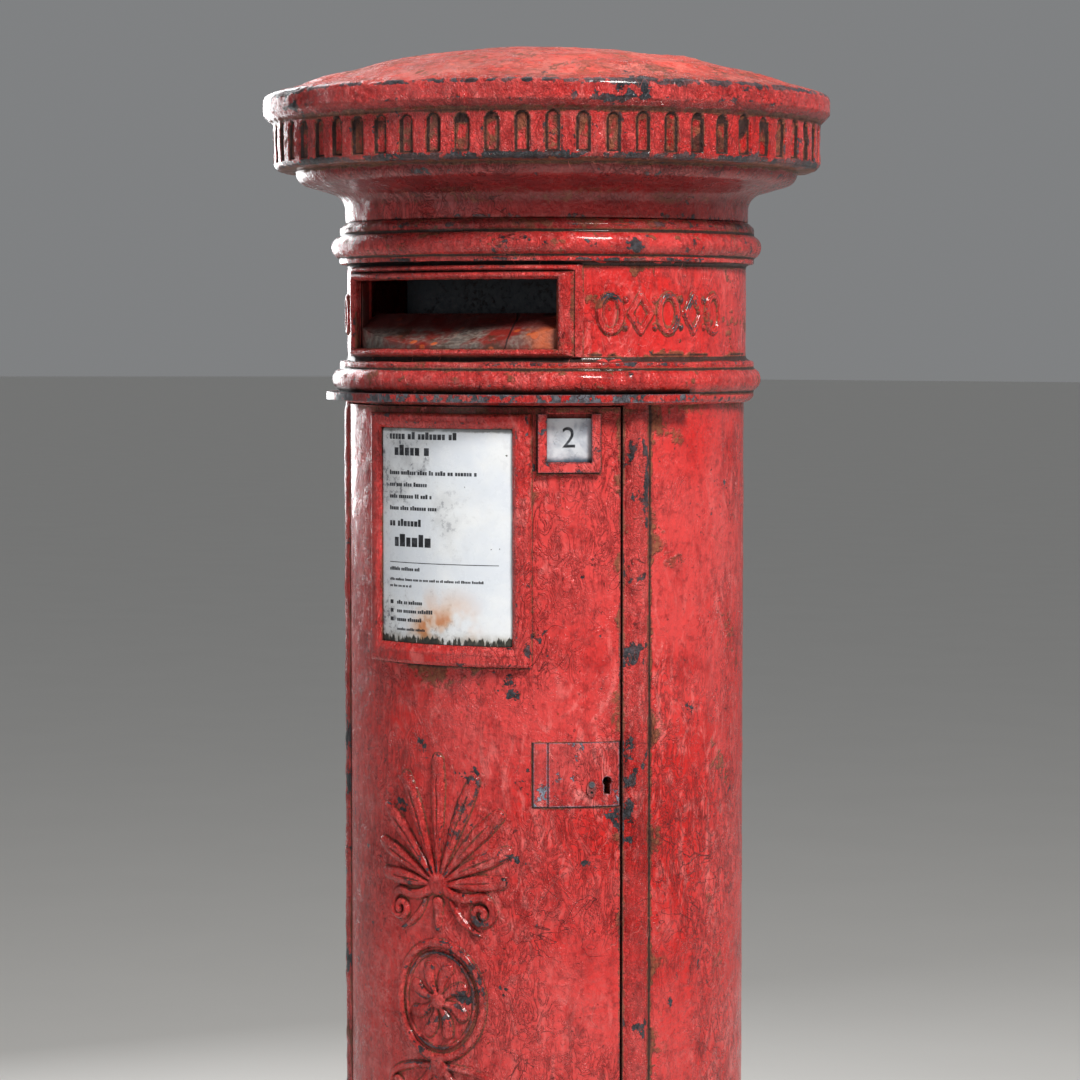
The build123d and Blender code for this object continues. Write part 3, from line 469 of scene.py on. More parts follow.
def build(name, P, quads, tris=None, attrs=None, sharp=38.0, mat=None):
    """A mesh object from mm points; points that no face uses are dropped."""
    quads = np.asarray(quads, np.int64).reshape(-1, 4)
    tris = np.zeros((0, 3), np.int64) if tris is None else np.asarray(tris, np.int64).reshape(-1, 3)
    used = np.zeros(len(P), bool)
    used[quads.ravel()] = True
    used[tris.ravel()] = True
    new = np.cumsum(used) - 1
    P2 = (P[used] * MM).astype(np.float32)
    loops = np.concatenate([new[quads].ravel(), new[tris].ravel()]).astype(np.int32)
    total = np.concatenate([np.full(len(quads), 4), np.full(len(tris), 3)]).astype(np.int32)
    start = np.concatenate([[0], np.cumsum(total)[:-1]]).astype(np.int32)
    me = bpy.data.meshes.new(name)
    me.vertices.add(len(P2))
    me.vertices.foreach_set("co", P2.ravel())
    me.loops.add(len(loops))
    me.loops.foreach_set("vertex_index", loops)
    me.polygons.add(len(total))
    me.polygons.foreach_set("loop_start", start)
    me.polygons.foreach_set("use_smooth", np.ones(len(total), bool))
    me.update(calc_edges=True)
    me.validate()
    if sharp:
        me.set_sharp_from_angle(angle=math.radians(sharp))
    for k, v in (attrs or {}).items():
        a = me.attributes.new(k, "FLOAT", "POINT")
        a.data.foreach_set("value", np.clip(v.reshape(-1)[used], 0, 1).astype(np.float32))
    o = bpy.data.objects.new(name, me)
    bpy.context.scene.collection.objects.link(o)
    if mat:
        me.materials.append(mat)
    return o


def shell(name, Pout, Pin, mask=None, wrap=False, apex=None, attrs=None, mat=None, sharp=38.0):
    """A closed skin between two grids of points, [angle, row], with holes where mask is False."""
    nu, nt = Pout.shape[:2]
    ni = nu if wrap else nu - 1
    idx = np.arange(nu * nt).reshape(nu, nt)
    N = nu * nt
    I, J = np.meshgrid(np.arange(ni), np.arange(nt - 1), indexing="ij")
    I2 = (I + 1) % nu
    if mask is None:
        mask = np.ones((ni, nt - 1), bool)
    m = mask
    a, b, c, d = idx[I, J], idx[I2, J], idx[I2, J + 1], idx[I, J + 1]
    q = [np.stack([a[m], b[m], c[m], d[m]], 1), np.stack([d[m] + N, c[m] + N, b[m] + N, a[m] + N], 1)]
    if wrap:
        left, right = np.roll(m, 1, 0), np.roll(m, -1, 0)
    else:
        left = np.vstack([np.zeros((1, nt - 1), bool), m[:-1]])
        right = np.vstack([m[1:], np.zeros((1, nt - 1), bool)])
    down = np.hstack([np.zeros((ni, 1), bool), m[:, :-1]])
    up = np.hstack([m[:, 1:], np.full((ni, 1), apex is not None)])
    for nb, p, r in ((left, a, d), (right, c, b), (down, b, a), (up, d, c)):
        w = m & ~nb
        q.append(np.stack([p[w], r[w], r[w] + N, p[w] + N], 1))
    P = np.concatenate([Pout.reshape(-1, 3), Pin.reshape(-1, 3)])
    tris = None
    at = {}
    for k, v in (attrs or {}).items():
        at[k] = np.concatenate([v.reshape(-1), np.zeros(N)])
    if apex is not None:
        P = np.concatenate([P, np.array(apex, float)])
        last = idx[:, -1]
        nxt = np.roll(last, -1)
        tris = np.concatenate([np.stack([last, nxt, np.full(nu, 2 * N)], 1), np.stack([nxt + N, last + N, np.full(nu, 2 * N + 1)], 1)])
        for k in at:
            at[k] = np.concatenate([at[k], [0, 0]])
    return build(name, P, np.concatenate(q), tris, at, sharp, mat)


def arc3(p0, pm, p1, step):
    """Points along the circle through three points, without the first."""
    (x1, y1), (x2, y2), (x3, y3) = p0, pm, p1
    d = 2 * (x1 * (y2 - y3) + x2 * (y3 - y1) + x3 * (y1 - y2))
    ux = ((x1 ** 2 + y1 ** 2) * (y2 - y3) + (x2 ** 2 + y2 ** 2) * (y3 - y1) + (x3 ** 2 + y3 ** 2) * (y1 - y2)) / d
    uy = ((x1 ** 2 + y1 ** 2) * (x3 - x2) + (x2 ** 2 + y2 ** 2) * (x1 - x3) + (x3 ** 2 + y3 ** 2) * (x2 - x1)) / d
    R = math.hypot(x1 - ux, y1 - uy)
    a0, am, a1 = (math.atan2(y - uy, x - ux) for x, y in (p0, pm, p1))
    two = 2 * math.pi
    ccw = ((am - a0) % two) < ((a1 - a0) % two)
    sweep = (a1 - a0) % two if ccw else -((a0 - a1) % two)
    n = max(2, int(math.ceil(abs(sweep) * R / step)))
    return [(ux + R * math.cos(a0 + sweep * i / n), uy + R * math.sin(a0 + sweep * i / n)) for i in range(1, n + 1)]


def profile(start, *segs):
    """segs are (point, step) for a line or (middle, point, step) for an arc; returns r and z arrays."""
    pts = [start]
    for s in segs:
        if len(s) == 2:
            p, step = s
            n = max(1, int(math.ceil(math.hypot(p[0] - pts[-1][0], p[1] - pts[-1][1]) / step)))
            a = pts[-1]
            pts += [(a[0] + (p[0] - a[0]) * i / n, a[1] + (p[1] - a[1]) * i / n) for i in range(1, n + 1)]
        else:
            pts += arc3(pts[-1], s[0], s[1], s[2])
    p = np.array(pts, float)
    return p[:, 0], p[:, 1]


def soften(r, z, n=2):
    """Rounds a profile's corners the way thick paint does."""
    for _ in range(n):
        r = np.concatenate([[r[0]], 0.25 * r[:-2] + 0.5 * r[1:-1] + 0.25 * r[2:], [r[-1]]])
        z = np.concatenate([[z[0]], 0.25 * z[:-2] + 0.5 * z[1:-1] + 0.25 * z[2:], [z[-1]]])
    return r, z


def normals(r, z):
    dr, dz = np.gradient(r), np.gradient(z)
    L = np.hypot(dr, dz) + 1e-9
    return dz / L, -dr / L


def bends(r, z, n=3):
    """(convex, concave) turning of a profile at each point, in 1/mm, blurred a little."""
    nr, nz = normals(r, z)
    s = np.hypot(np.gradient(r), np.gradient(z)) + 1e-9
    k = (nr * np.gradient(nz) - nz * np.gradient(nr)) / s
    k = blur(k, n)
    return np.clip(k, 0, 1), np.clip(-k, 0, 1)


def polar(U, R, Z):
    a = np.radians(U)
    return np.stack([R * np.sin(a), -R * np.cos(a), Z], -1)


def seg(*parts):
    """Sorted lines: each part is (start, stop, step)."""
    out = []
    for a, b, st in parts:
        n = max(1, int(round((b - a) / st)))
        out += list(np.linspace(a, b, n + 1))
    out = np.array(sorted(out))
    return out[np.concatenate([[True], np.diff(out) > 1e-6])]


def smooth01(x):
    x = np.clip(x, 0, 1)
    return x * x * (3 - 2 * x)


# ---------------------------------------------------------------- ornament
def stroke(X, Z, pts, widths):
    """Signed distance (mm, negative inside) to a line of changing half width."""
    pts = np.asarray(pts, float)
    w = np.interp(np.linspace(0, 1, len(pts)), np.linspace(0, 1, len(widths)), widths)
    out = np.full(X.shape, 1e3)
    lo, hi = pts.min(0) - 22, pts.max(0) + 22
    near = (X > lo[0]) & (X < hi[0]) & (Z > lo[1]) & (Z < hi[1])
    x, z = X[near], Z[near]
    best = np.full(x.shape, 1e3)
    for i in range(len(pts) - 1):
        a, b = pts[i], pts[i + 1]
        d = b - a
        L2 = d @ d + 1e-12
        t = np.clip(((x - a[0]) * d[0] + (z - a[1]) * d[1]) / L2, 0, 1)
        dist = np.hypot(x - a[0] - t * d[0], z - a[1] - t * d[1]) - (w[i] + t * (w[i + 1] - w[i]))
        best = np.minimum(best, dist)
    out[near] = best
    return out


def dome_h(sd, w, h):
    """Height of a rounded bar or boss: h at depth w inside the outline, 0 outside."""
    t = np.clip(-sd / w, 0, 1)
    return h * np.sqrt(np.clip(1 - (1 - t) ** 2, 0, 1))


def spiral(cx, cz, r0, r1, a0, a1, n=40):
    t = np.linspace(0, 1, n)
    a = np.radians(a0 + (a1 - a0) * t)
    r = r0 * (r1 / r0) ** t
    return np.stack([cx + r * np.cos(a), cz + r * np.sin(a)], 1)


def bezier(*p, n=24):
    p = np.array(p, float)
    t = np.linspace(0, 1, n)[:, None]
    if len(p) == 3:
        return (1 - t) ** 2 * p[0] + 2 * t * (1 - t) * p[1] + t ** 2 * p[2]
    return (1 - t) ** 3 * p[0] + 3 * t * (1 - t) ** 2 * p[1] + 3 * t ** 2 * (1 - t) * p[2] + t ** 3 * p[3]


def mirror_x(p):
    p = np.array(p, float)
    p[:, 0] *= -1
    return p


def ellipse(cx, cz, rx, rz, n=64):
    a = np.linspace(0, 2 * np.pi, n)
    return np.stack([cx + rx * np.cos(a), cz + rz * np.sin(a)], 1)


def crest(X, Z):
    """A shell-like fan of nine leaves over two scrolls, an ordinary cast-iron ornament; returns height in mm."""
    h = np.zeros(X.shape)
    zc = ZL - 448.0
    for i in range(-4, 5):
        a = math.radians(i * 21.0)
        Ln = (118, 106, 92, 76, 60)[abs(i)]
        bend = i * 2.4
        p0 = (10 * math.sin(a), zc + 12 * math.cos(a))
        p1 = (0.55 * Ln * math.sin(a) - bend, zc + 0.55 * Ln * math.cos(a))
        p2 = (Ln * math.sin(a) * 0.92 + bend, zc + Ln * math.cos(a))
        h = np.maximum(h, dome_h(stroke(X, Z, bezier(p0, p1, p2, n=14), (2.2, 4.2, 6.4, 8.2, 6.2)), 6.0, 4.6))
        # a vein down each leaf
        h = h - dome_h(stroke(X, Z, bezier(p0, p1, p2, n=14)[4:-2], (0.8, 1.2, 0.7)), 1.2, 1.1) * (h > 1.5)
    for m in (lambda p: p, mirror_x):
        sc = np.concatenate([bezier((2, zc + 2), (20, zc - 16), (44, zc - 8), n=12), spiral(44, zc - 24, 16, 3.5, 90, -400)[1:]])
        h = np.maximum(h, dome_h(stroke(X, Z, m(sc), (5.0, 4.4, 3.6, 3.4, 4.2)), 3.8, 4.4))
        h = np.maximum(h, dome_h(stroke(X, Z, m(bezier((14, zc - 14), (22, zc - 34), (44, zc - 44), n=10)), (2.2, 3.6, 1.6)), 3.2, 3.4))
    h = np.maximum(h, dome_h(stroke(X, Z, [(0, zc + 2), (0, zc + 2.1)], (11.0, 11.0)), 9, 5.6))
    h = np.maximum(h, dome_h(stroke(X, Z, [(0, zc - 16), (0, zc - 40)], (6.0, 3.0)), 5, 4.0))
    return h


def scrolls(X, Z):
    """A round flower in a cord ring, over a pair of branching scrolls and three reeds; returns height in mm."""
    h = np.zeros(X.shape)
    c = ZL - 556.0
    h = np.maximum(h, dome_h(stroke(X, Z, ellipse(0, c, 46, 54), (3.9, 3.9)), 3.9, 4.4))
    h = np.maximum(h, dome_h(stroke(X, Z, ellipse(0, c, 37.5, 45), (1.6, 1.6)), 1.6, 2.0))
    for i in range(8):
        a = math.radians(i * 45 + 22.5)
        p = bezier((7 * math.cos(a), c + 8 * math.sin(a)), (20 * math.cos(a + 0.25), c + 23 * math.sin(a + 0.25)), (27 * math.cos(a), c + 32 * math.sin(a)), n=8)
        h = np.maximum(h, dome_h(stroke(X, Z, p, (2.4, 5.4, 6.2)), 5.2, 3.8))
    h = np.maximum(h, dome_h(stroke(X, Z, [(0, c), (0, c + 0.1)], (8.5, 8.5)), 7.5, 5.0))
    z0 = c - 58
    for m in (lambda p: p, mirror_x):
        p = np.concatenate([bezier((3, z0 + 2), (16, z0 - 34), (50, z0 - 40), (72, z0 - 44), n=18), spiral(80, z0 - 64, 21, 4, 110, -420)[1:]])
        h = np.maximum(h, dome_h(stroke(X, Z, m(p), (4.2, 4.6, 4.4, 3.8, 3.4, 4.4)), 3.8, 4.4))
        p = np.concatenate([bezier((6, z0 - 4), (34, z0 - 4), (52, z0 - 14), n=12), spiral(50, z0 - 25, 11, 3, 75, -300, 26)[1:]])
        h = np.maximum(h, dome_h(stroke(X, Z, m(p), (3.4, 3.4, 3.0, 3.6)), 3.2, 3.8))
        p = np.concatenate([bezier((20, z0 - 36), (14, z0 - 74), (34, z0 - 96), n=14), spiral(46, z0 - 92, 13, 3.5, 200, 560, 30)[1:]])
        h = np.maximum(h, dome_h(stroke(X, Z, m(p), (2.6, 3.6, 3.4, 3.8)), 3.4, 4.0))
    for x in (-9, 0, 9):
        h = np.maximum(h, dome_h(stroke(X, Z, [(x * 0.5, z0 - 26), (x, z0 - 118 + abs(x) * 1.5)], (2.2, 3.4)), 3.0, 3.8))
    h = np.maximum(h, dome_h(stroke(X, Z, [(0, z0 - 6), (0, z0 - 6.1)], (9.5, 9.5)), 8.0, 4.8))
    return h


def ring_run(X, Z):
    """Five raised rings and lozenges in a row, 39 mm high; returns height in mm."""
    sd = np.full(X.shape, 1e3)
    zc = ZL + 83.5
    for i, x in enumerate((-60.5, -30.5, 0, 30.5, 60.5)):
        if i % 2 == 0:
            sd = np.minimum(sd, stroke(X, Z, ellipse(x, zc, 10.6, 16.6), (2.9, 2.9)))
        else:
            sd = np.minimum(sd, stroke(X, Z, [(x, zc - 16.8), (x + 10.8, zc), (x, zc + 16.8), (x - 10.8, zc), (x, zc - 16.8)], (2.8, 2.8)))
    for x in (-45.5, -15.2, 15.2, 45.5):
        sd = np.minimum(sd, stroke(X, Z, [(x, zc + 12.5), (x, zc + 12.6)], (2.4, 2.4)))
        sd = np.minimum(sd, stroke(X, Z, [(x, zc - 12.5), (x, zc - 12.6)], (2.4, 2.4)))
    return dome_h(sd, 1.9, 2.5)


def blot(P, seed, lam, lo, hi):
    """Ragged patches, 0 to 1."""
    a, b, c = field(seed, lam)(P), field(seed + 1, lam * 0.35)(P), field(seed + 2, lam * 0.13)(P)
    return smooth01((a + 0.6 * b + 0.35 * c - lo) / (hi - lo))


def spotat(U, Z, u, z, ru, rz):
    """A soft oval spot round angle u and height z."""
    return np.exp(-(((U - u) / ru) ** 2 + ((Z - z) / rz) ** 2))


def relief_attrs(h, n=3):
    """(wear, dirt) from a height grid: worn tops and crests, grime round the foot."""
    low = blur(h, n)
    d = h - low
    return np.clip(d * 1.6, 0, 0.9), np.clip(-d * 2.2, 0, 1)


# ---------------------------------------------------------------- skins
def bead_r(U, z_ok):
    """Outer radius of the two upright half-round jamb beads, or 0 away from them."""
    d = np.radians(np.abs(np.abs(U) - 57.5))
    s = 20.2 ** 2 - (174.5 * np.sin(d)) ** 2
    r = np.where((s > 0) & (d < 0.2), 174.5 * np.cos(d) + np.sqrt(np.clip(s, 0, None)), 0)
    return np.where(z_ok, r, 0)


# barrel, below the band: two runs of skin, round the back and under the doorway
us = seg((-180, -62, 1.1), (-62, -53.4, 0.24), (-53.4, 53.4, 1.6), (53.4, 62, 0.24), (62, 180, 1.1))[:-1]
zs = seg((240.2, 290, 3.5), (290, 1240, 3.6), (1240, 1259.6, 1.2))
U, Z = np.meshgrid(us, zs, indexing="ij")
bead = bead_r(U, Z > 268)
top = np.clip((ZL - 0.5 - Z) / 11.0, 0, 1)
bead = np.where(bead > 0, 190.5 + 1.25 * (bead - 190.5) * np.sqrt(np.clip(1 - (1 - top) ** 2, 0, 1)), 0)
base_r = np.maximum(190.5, bead)
P0 = polar(U, base_r, Z)
groove = np.exp(-((np.abs(np.abs(np.abs(U) - 57.5) - 4.25)) / 0.42) ** 2) * (Z > 266)
R = base_r + 0.45 + np.maximum(lumps(P0) * (1 + 1.6 * (bead > 0)), -0.30) * (1 - np.clip(groove, 0, 1)) - 0.30 * groove
Pout, Pin = polar(U, R, Z), polar(U, np.full(U.shape, 189.3), Z)
mid = 0.5 * (us + np.roll(us, -1)); mid[-1] = 179.9
zm = 0.5 * (zs[1:] + zs[:-1])
mask = ~((np.abs(mid)[:, None] < 53.4) & (zm[None, :] > 290))
foot = 1.25 * np.exp(-((np.abs(np.abs(np.abs(U) - 57.5) - 4.25)) / 0.62) ** 2) * (Z > 266)
dirt = np.maximum(foot, 0.75 * np.exp(-((ZL - Z) / 9.0)))
dirt = np.maximum(dirt, 0.5 * np.exp(-((Z - 240) / 14.0)))
# rust and grime that creeps out from the outer foot of the bead
ragged = blot(P0, 21, 70, -0.3, 1.3)
creep = (np.abs(U) > 60.8) * np.exp(-((np.abs(U) - 61.6) / (0.5 + 3.0 * ragged))) * smooth01(ragged * 1.8)
dirt = np.maximum(dirt, np.minimum(creep * 1.25, 0.8))
dirt = np.maximum(dirt, 0.9 * spotat(np.abs(U), Z, 64.0, ZL - 12, 3.6, 15))
dirt = np.maximum(dirt, 0.55 * blot(P0, 31, 120, 1.25, 1.9))
wear = np.maximum(np.exp(-((np.abs(U) - 53.4) / 0.35) ** 2) * (Z > 290) * 0.8, 0)
wear = np.maximum(wear, np.clip((bead - 193.6) / 1.2, 0, 1) * 0.35)
bare = 1.15 * spotat(np.abs(U), Z, 60.4, ZL - 104, 1.2, 30) + 1.0 * spotat(np.abs(U), Z, 60.4, ZL - 66, 1.0, 16)
bare += 1.3 * spotat(np.abs(U), Z, 54.8, ZL - 318, 1.5, 24) + 1.1 * spotat(np.abs(U), Z, 54.8, ZL - 368, 1.4, 20) + 1.0 * spotat(np.abs(U), Z, 60.2, ZL - 326, 1.0, 9)
bare += 0.75 * (np.abs(np.abs(U) - 57.5) < 4) * blot(P0, 41, 60, 0.9, 1.6) + 0.5 * blot(P0, 44, 90, 1.5, 2.1)
crinkle = np.clip((bead - 190.8) / 1.5, 0, 1)
# painted shade: darker paint just under the band's lower moulding
shade = 0.55 * np.exp(-((ZL - Z) / 7.0))
o = shell("barrel_body_skin", Pout, Pin, mask, wrap=True, attrs={"wear": wear, "dirt": dirt, "bare": bare, "crinkle": crinkle, "shade": shade}, mat=RED)
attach(o, "shell")

# barrel, the moulded band round the aperture
r, z = profile((190.5, ZL - 0.4),
               ((194.8, ZL + 0.4), (199.9, ZL + 4.9), 1.0), ((199.9, ZL + 10.6), 1.2),
               ((207, ZL + 20.9), (199.9, ZL + 31.2), 1.1), ((199.9, ZL + 38.2), 1.2),
               ((194.5, ZL + 39.5), (192.2, ZL + 43.0), 1.0), ((192.2, ZL + 51.0), 1.2), ((192.2, ZL + 115.0), 1.25), ((192.2, ZL + 128.4), 1.2),
               ((194.5, ZL + 131.0), (199.9, ZL + 131.7), 1.0), ((199.9, ZL + 137.4), 1.2),
               ((207, ZL + 147.7), (199.9, ZL + 158.0), 1.1), ((199.9, ZL + 165.5), 1.2), ((194.6, ZL + 169.9), 1.2))
j0, j1 = int(np.argmin(np.abs(z - (ZL + 51)) + np.abs(r - 192.2))), int(np.argmin(np.abs(z - (ZL + 115)) + np.abs(r - 192.2)))
rs, zs = soften(r, z, 2)
zs[j0], zs[j1] = ZL + 51, ZL + 115
nr, nz = normals(rs, zs)
vex, cave = bends(rs, zs)
a_ap = math.degrees(math.asin(111.4 / 192.2))
us = seg((-180, -94, 1.2), (-94, -41.5, 0.27), (-41.5, -a_ap, 1.2), (-a_ap, a_ap, 1.3), (a_ap, 41.5, 1.2), (41.5, 94, 0.27), (94, 180, 1.2))[:-1]
U, RR = np.meshgrid(us, rs, indexing="ij")
_, ZZ = np.meshgrid(us, zs, indexing="ij")
P0 = polar(U, RR, ZZ)
X = (np.abs(U) - 67.5) * math.pi / 180 * 192.2
h = np.where(np.abs(ZZ - (ZL + 83.5)) < 30, ring_run(X, ZZ), 0)
wr, dt = relief_attrs(h, 3)
rough_on = 1.0 + 0.9 * (np.abs(RR - 192.2)[...] > 2.0)
hh = 0.45 + np.maximum(lumps(P0) * rough_on, -0.40) + h
Pout = polar(U, RR + nr[None] * hh, ZZ + nz[None] * hh)
Pin = polar(U, RR - nr[None] * 1.2, ZZ - nz[None] * 1.2)
mid = 0.5 * (us + np.roll(us, -1)); mid[-1] = 179.9
mask = np.ones((len(us), len(rs) - 1), bool)
mask[np.abs(mid) < a_ap, j0:j1] = False
wear = np.maximum(np.clip(vex * 7, 0, 0.8)[None] * np.ones_like(U), wr * 0.9)
dirt = np.maximum(np.clip(cave * 8, 0, 1)[None] * np.ones_like(U), dt * 0.9)
dirt = np.maximum(dirt, 0.6 * np.exp(-((ZL + 170 - ZZ) / 4.0)))
low = np.exp(-((ZZ - (ZL + 45.5)) / 3.2) ** 2) * (RR < 197)
dirt = np.maximum(dirt, low * blot(P0, 51, 45, -0.6, 0.5))
dirt = np.maximum(dirt, 0.75 * np.exp(-((ZZ - (ZL + 167)) / 6.0) ** 2) * blot(P0, 54, 40, -0.4, 0.6))
dirt = np.maximum(dirt, 0.8 * blot(P0, 57, 34, 1.15, 1.7))
dirt = np.maximum(dirt, 0.8 * spotat(np.abs(U), ZZ, 96, ZL + 75, 3.5, 26) * blot(P0, 59, 20, -0.6, 0.8))
bare = 0.95 * blot(P0, 61, 42, 0.9, 1.6) * (RR > 202) * np.exp(-((U - 62) / 22.0) ** 2) * (ZZ > ZL + 130) + 0.55 * blot(P0, 61, 42, 1.5, 2.0) * (RR > 203) + 0.35 * (RR > 199) * blot(P0, 64, 22, 1.3, 1.9)
wear = np.where(RR > 200.5, np.minimum(wear, 0.22), wear)
brown = blot(P0, 161, 30, 1.0, 1.5) * (RR > 200)
dirt = np.maximum(dirt, 0.62 * brown)
bare += 0.8 * wr * blot(P0, 66, 26, 0.0, 0.9)
crinkle = np.clip((RR - 193.5) / 4.0, 0, 1) * (0.45 + 0.55 * smooth01(F60(P0) + 0.6))
crinkle = np.maximum(crinkle, wr * 0.7)
# painted shade: darker paint under the cap's overhang and in the crease under the upper moulding
shade = 0.55 * smooth01((ZZ - (ZL + 156)) / 8.0) + 0.5 * np.exp(-((ZZ - (ZL + 129)) / 2.5) ** 2)
o = shell("barrel_band_skin", Pout, Pin, mask, wrap=True, attrs={"wear": wear, "dirt": dirt, "bare": bare, "crinkle": crinkle, "shade": np.clip(shade, 0, 1)}, mat=RED)
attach(o, "shell")

# door
us = seg((-48.2, -36, 0.5), (-36, 36, 0.25), (36, 50, 0.5), (50, 52.6, 0.3))
us = np.array(sorted(set(np.round(us, 5)) | {28.1, 52.45, 30.3, 45.7}))
zt = (ZL - 311.0, ZL - 370.6, ZL - 7.0, ZL - 59.0)
zs = seg((293.0, ZL - 760, 4.0), (ZL - 760, ZL - 320, 0.92), (ZL - 320, 1256.8, 3.0))
zs = np.array(sorted(set(np.round(zs, 5)) | set(zt)))
U, Z = np.meshgrid(us, zs, indexing="ij")
P0 = polar(U, np.full(U.shape, 190.5), Z)
X = U * math.pi / 180 * 190.5
h = crest(X, Z) + scrolls(X, Z)
wr, dt = relief_attrs(h, 3)
hem = np.clip((52.6 - U) / 1.6, 0, 1) * np.clip((U + 48.2) / 3.0, 0, 1) * np.clip((Z - 293) / 4, 0, 1) * np.clip((1256.8 - Z) / 4, 0, 1)
lum = lumps(P0)
Rr = 190.5 + 0.10 + (0.33 + lum) * smooth01(hem) + h * (0.94 + 0.10 * F22(P0))
Pout, Pin = polar(U, Rr, Z), polar(U, np.full(U.shape, 189.6), Z)
um, zm = 0.5 * (us[1:] + us[:-1]), 0.5 * (zs[1:] + zs[:-1])
UM, ZM = np.meshgrid(um, zm, indexing="ij")
mask = ~((UM > 28.1) & (UM < 52.45) & (ZM > ZL - 370.6) & (ZM < ZL - 311.0))
mask &= ~((UM > 30.3) & (UM < 45.7) & (ZM > ZL - 59.0) & (ZM < ZL - 7.0))
edge_u, edge_z = 52.6 - np.abs(U), np.minimum(Z - 293, 1256.8 - Z)
wear = np.maximum(wr, 0.75 * np.exp(-(edge_u / 0.5) ** 2))
dirt = np.maximum(dt * 0.8, 0.6 * np.exp(-(edge_u / 0.35) ** 2))
ragged = blot(P0, 71, 60, -0.4, 1.2)
under = np.exp(-np.clip((ZL - 242.5) - Z, 0, None) / (3.0 + 16.0 * ragged)) * (Z < ZL - 241) * (np.abs(U - 6) < 21) * smooth01(ragged * 1.4)
dirt = np.maximum(dirt, under)
creep = (U > 40) * np.exp(-np.clip(52.6 - U, 0, None) / (0.35 + 1.7 * ragged)) * smooth01(ragged * 1.5 + 0.1)
dirt = np.maximum(dirt, creep * 0.95)
side = np.exp(-np.clip(U - 27.2, 0, None) / (0.4 + 1.3 * ragged)) * (U > 27) * (Z > ZL - 241) * (Z < ZL - 60) * smooth01(ragged * 1.5 - 0.2)
dirt = np.maximum(dirt, side)
dirt = np.maximum(dirt, 0.8 * np.exp(-(1257 - Z) / 5.0))
dirt = np.maximum(dirt, 0.85 * spotat(U, Z, 50.5, ZL - 292, 1.6, 12) * blot(P0, 74, 12, -0.5, 0.8))
# the dark joint round the lock plate and the tablet holder
px = np.maximum(np.maximum(28.1 - U, U - 52.45), 0) * 3.325
pz = np.maximum(np.maximum(ZL - 370.6 - Z, Z - (ZL - 311.0)), 0)
dirt = np.maximum(dirt, 1.15 * smooth01((2.4 - np.hypot(px, pz)) / 1.2))
tx = np.maximum(np.abs((U - 38.0) * 3.325) - 29.0, 0)
tz = np.maximum(np.maximum(ZL - 62.0 - Z, Z - (ZL - 8.4)), 0)
dirt = np.maximum(dirt, 1.1 * smooth01(1.9 - np.hypot(tx, tz)))
nx = np.maximum(np.abs((U - 0.9) * 3.325) - 87.0, 0)
nz2 = np.maximum(np.maximum(ZL - 241.7 - Z, Z - (ZL - 8.3)), 0)
dirt = np.maximum(dirt, 1.0 * smooth01(1.8 - np.hypot(nx, nz2)))
bare = 0.6 * wr * blot(P0, 76, 24, 0.0, 1.0) + 0.75 * blot(P0, 78, 50, 1.45, 2.0)
bare += 0.7 * spotat(U, Z, 51.6, ZL - 205, 0.8, 20) + 0.6 * spotat(U, Z, 50.0, ZL - 300, 2.0, 9) + 0.6 * spotat(U, Z, 50.0, ZL - 378, 2.0, 7)
crinkle = np.clip(np.clip(h, 0, 1) * 0.75 + 0.4 * blot(P0, 171, 80, 0.2, 1.3), 0, 0.9)
# painted shade: darker paint along the door's top, under the drip strip
shade = 0.62 * np.exp(-((1257 - Z) / 8.0))
o = shell("door_skin", Pout, Pin, mask, attrs={"wear": wear, "dirt": dirt, "bare": bare, "crinkle": crinkle, "shade": shade}, mat=RED)
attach(o, "door")

# cap
r, z = profile((176.3, 1430.0), ((194.5, 1430.0), 6.0), ((194.5, ZL + 186), 2.0),
               ((198.4, ZL + 193.6), (206.9, ZL + 199.3), 2.0), ((230, ZL + 206.2), 3.0),
               ((238.4, ZL + 210.2), (241.8, ZL + 217.6), 1.8), ((241.8, ZL + 219.6), 1.2), ((257.5, ZL + 220.6), 2.0),
               ((262.2, ZL + 224.6), (263.4, ZL + 229.8), 1.2), ((263.6, ZL + 264.9), 1.05),
               ((268.0, ZL + 268.6), (273.2, ZL + 274.1), 1.2), ((273.2, ZL + 285.2), 1.3),
               ((272.0, ZL + 289.6), (268.1, ZL + 292.6), 1.2))
zt, rt = ZL + 339.2, 268.1
zb = ZL + 292.6
Rs = (rt ** 2 + (zt - zb) ** 2) / (2 * (zt - zb))
th = np.linspace(math.asin(rt / Rs), 0, 62)[1:-1]
r = np.concatenate([r, Rs * np.sin(th)]); z = np.concatenate([z, zt - Rs * (1 - np.cos(th))])
rs, zs = soften(r, z, 1)
nr, nz = normals(rs, zs)
vex, cave = bends(rs, zs)
us = np.linspace(-180, 180, 60 * 15 + 1)[:-1] + 0.0
U, RR = np.meshgrid(us, rs, indexing="ij")
_, ZZ = np.meshgrid(us, zs, indexing="ij")
P0 = polar(U, RR, ZZ)
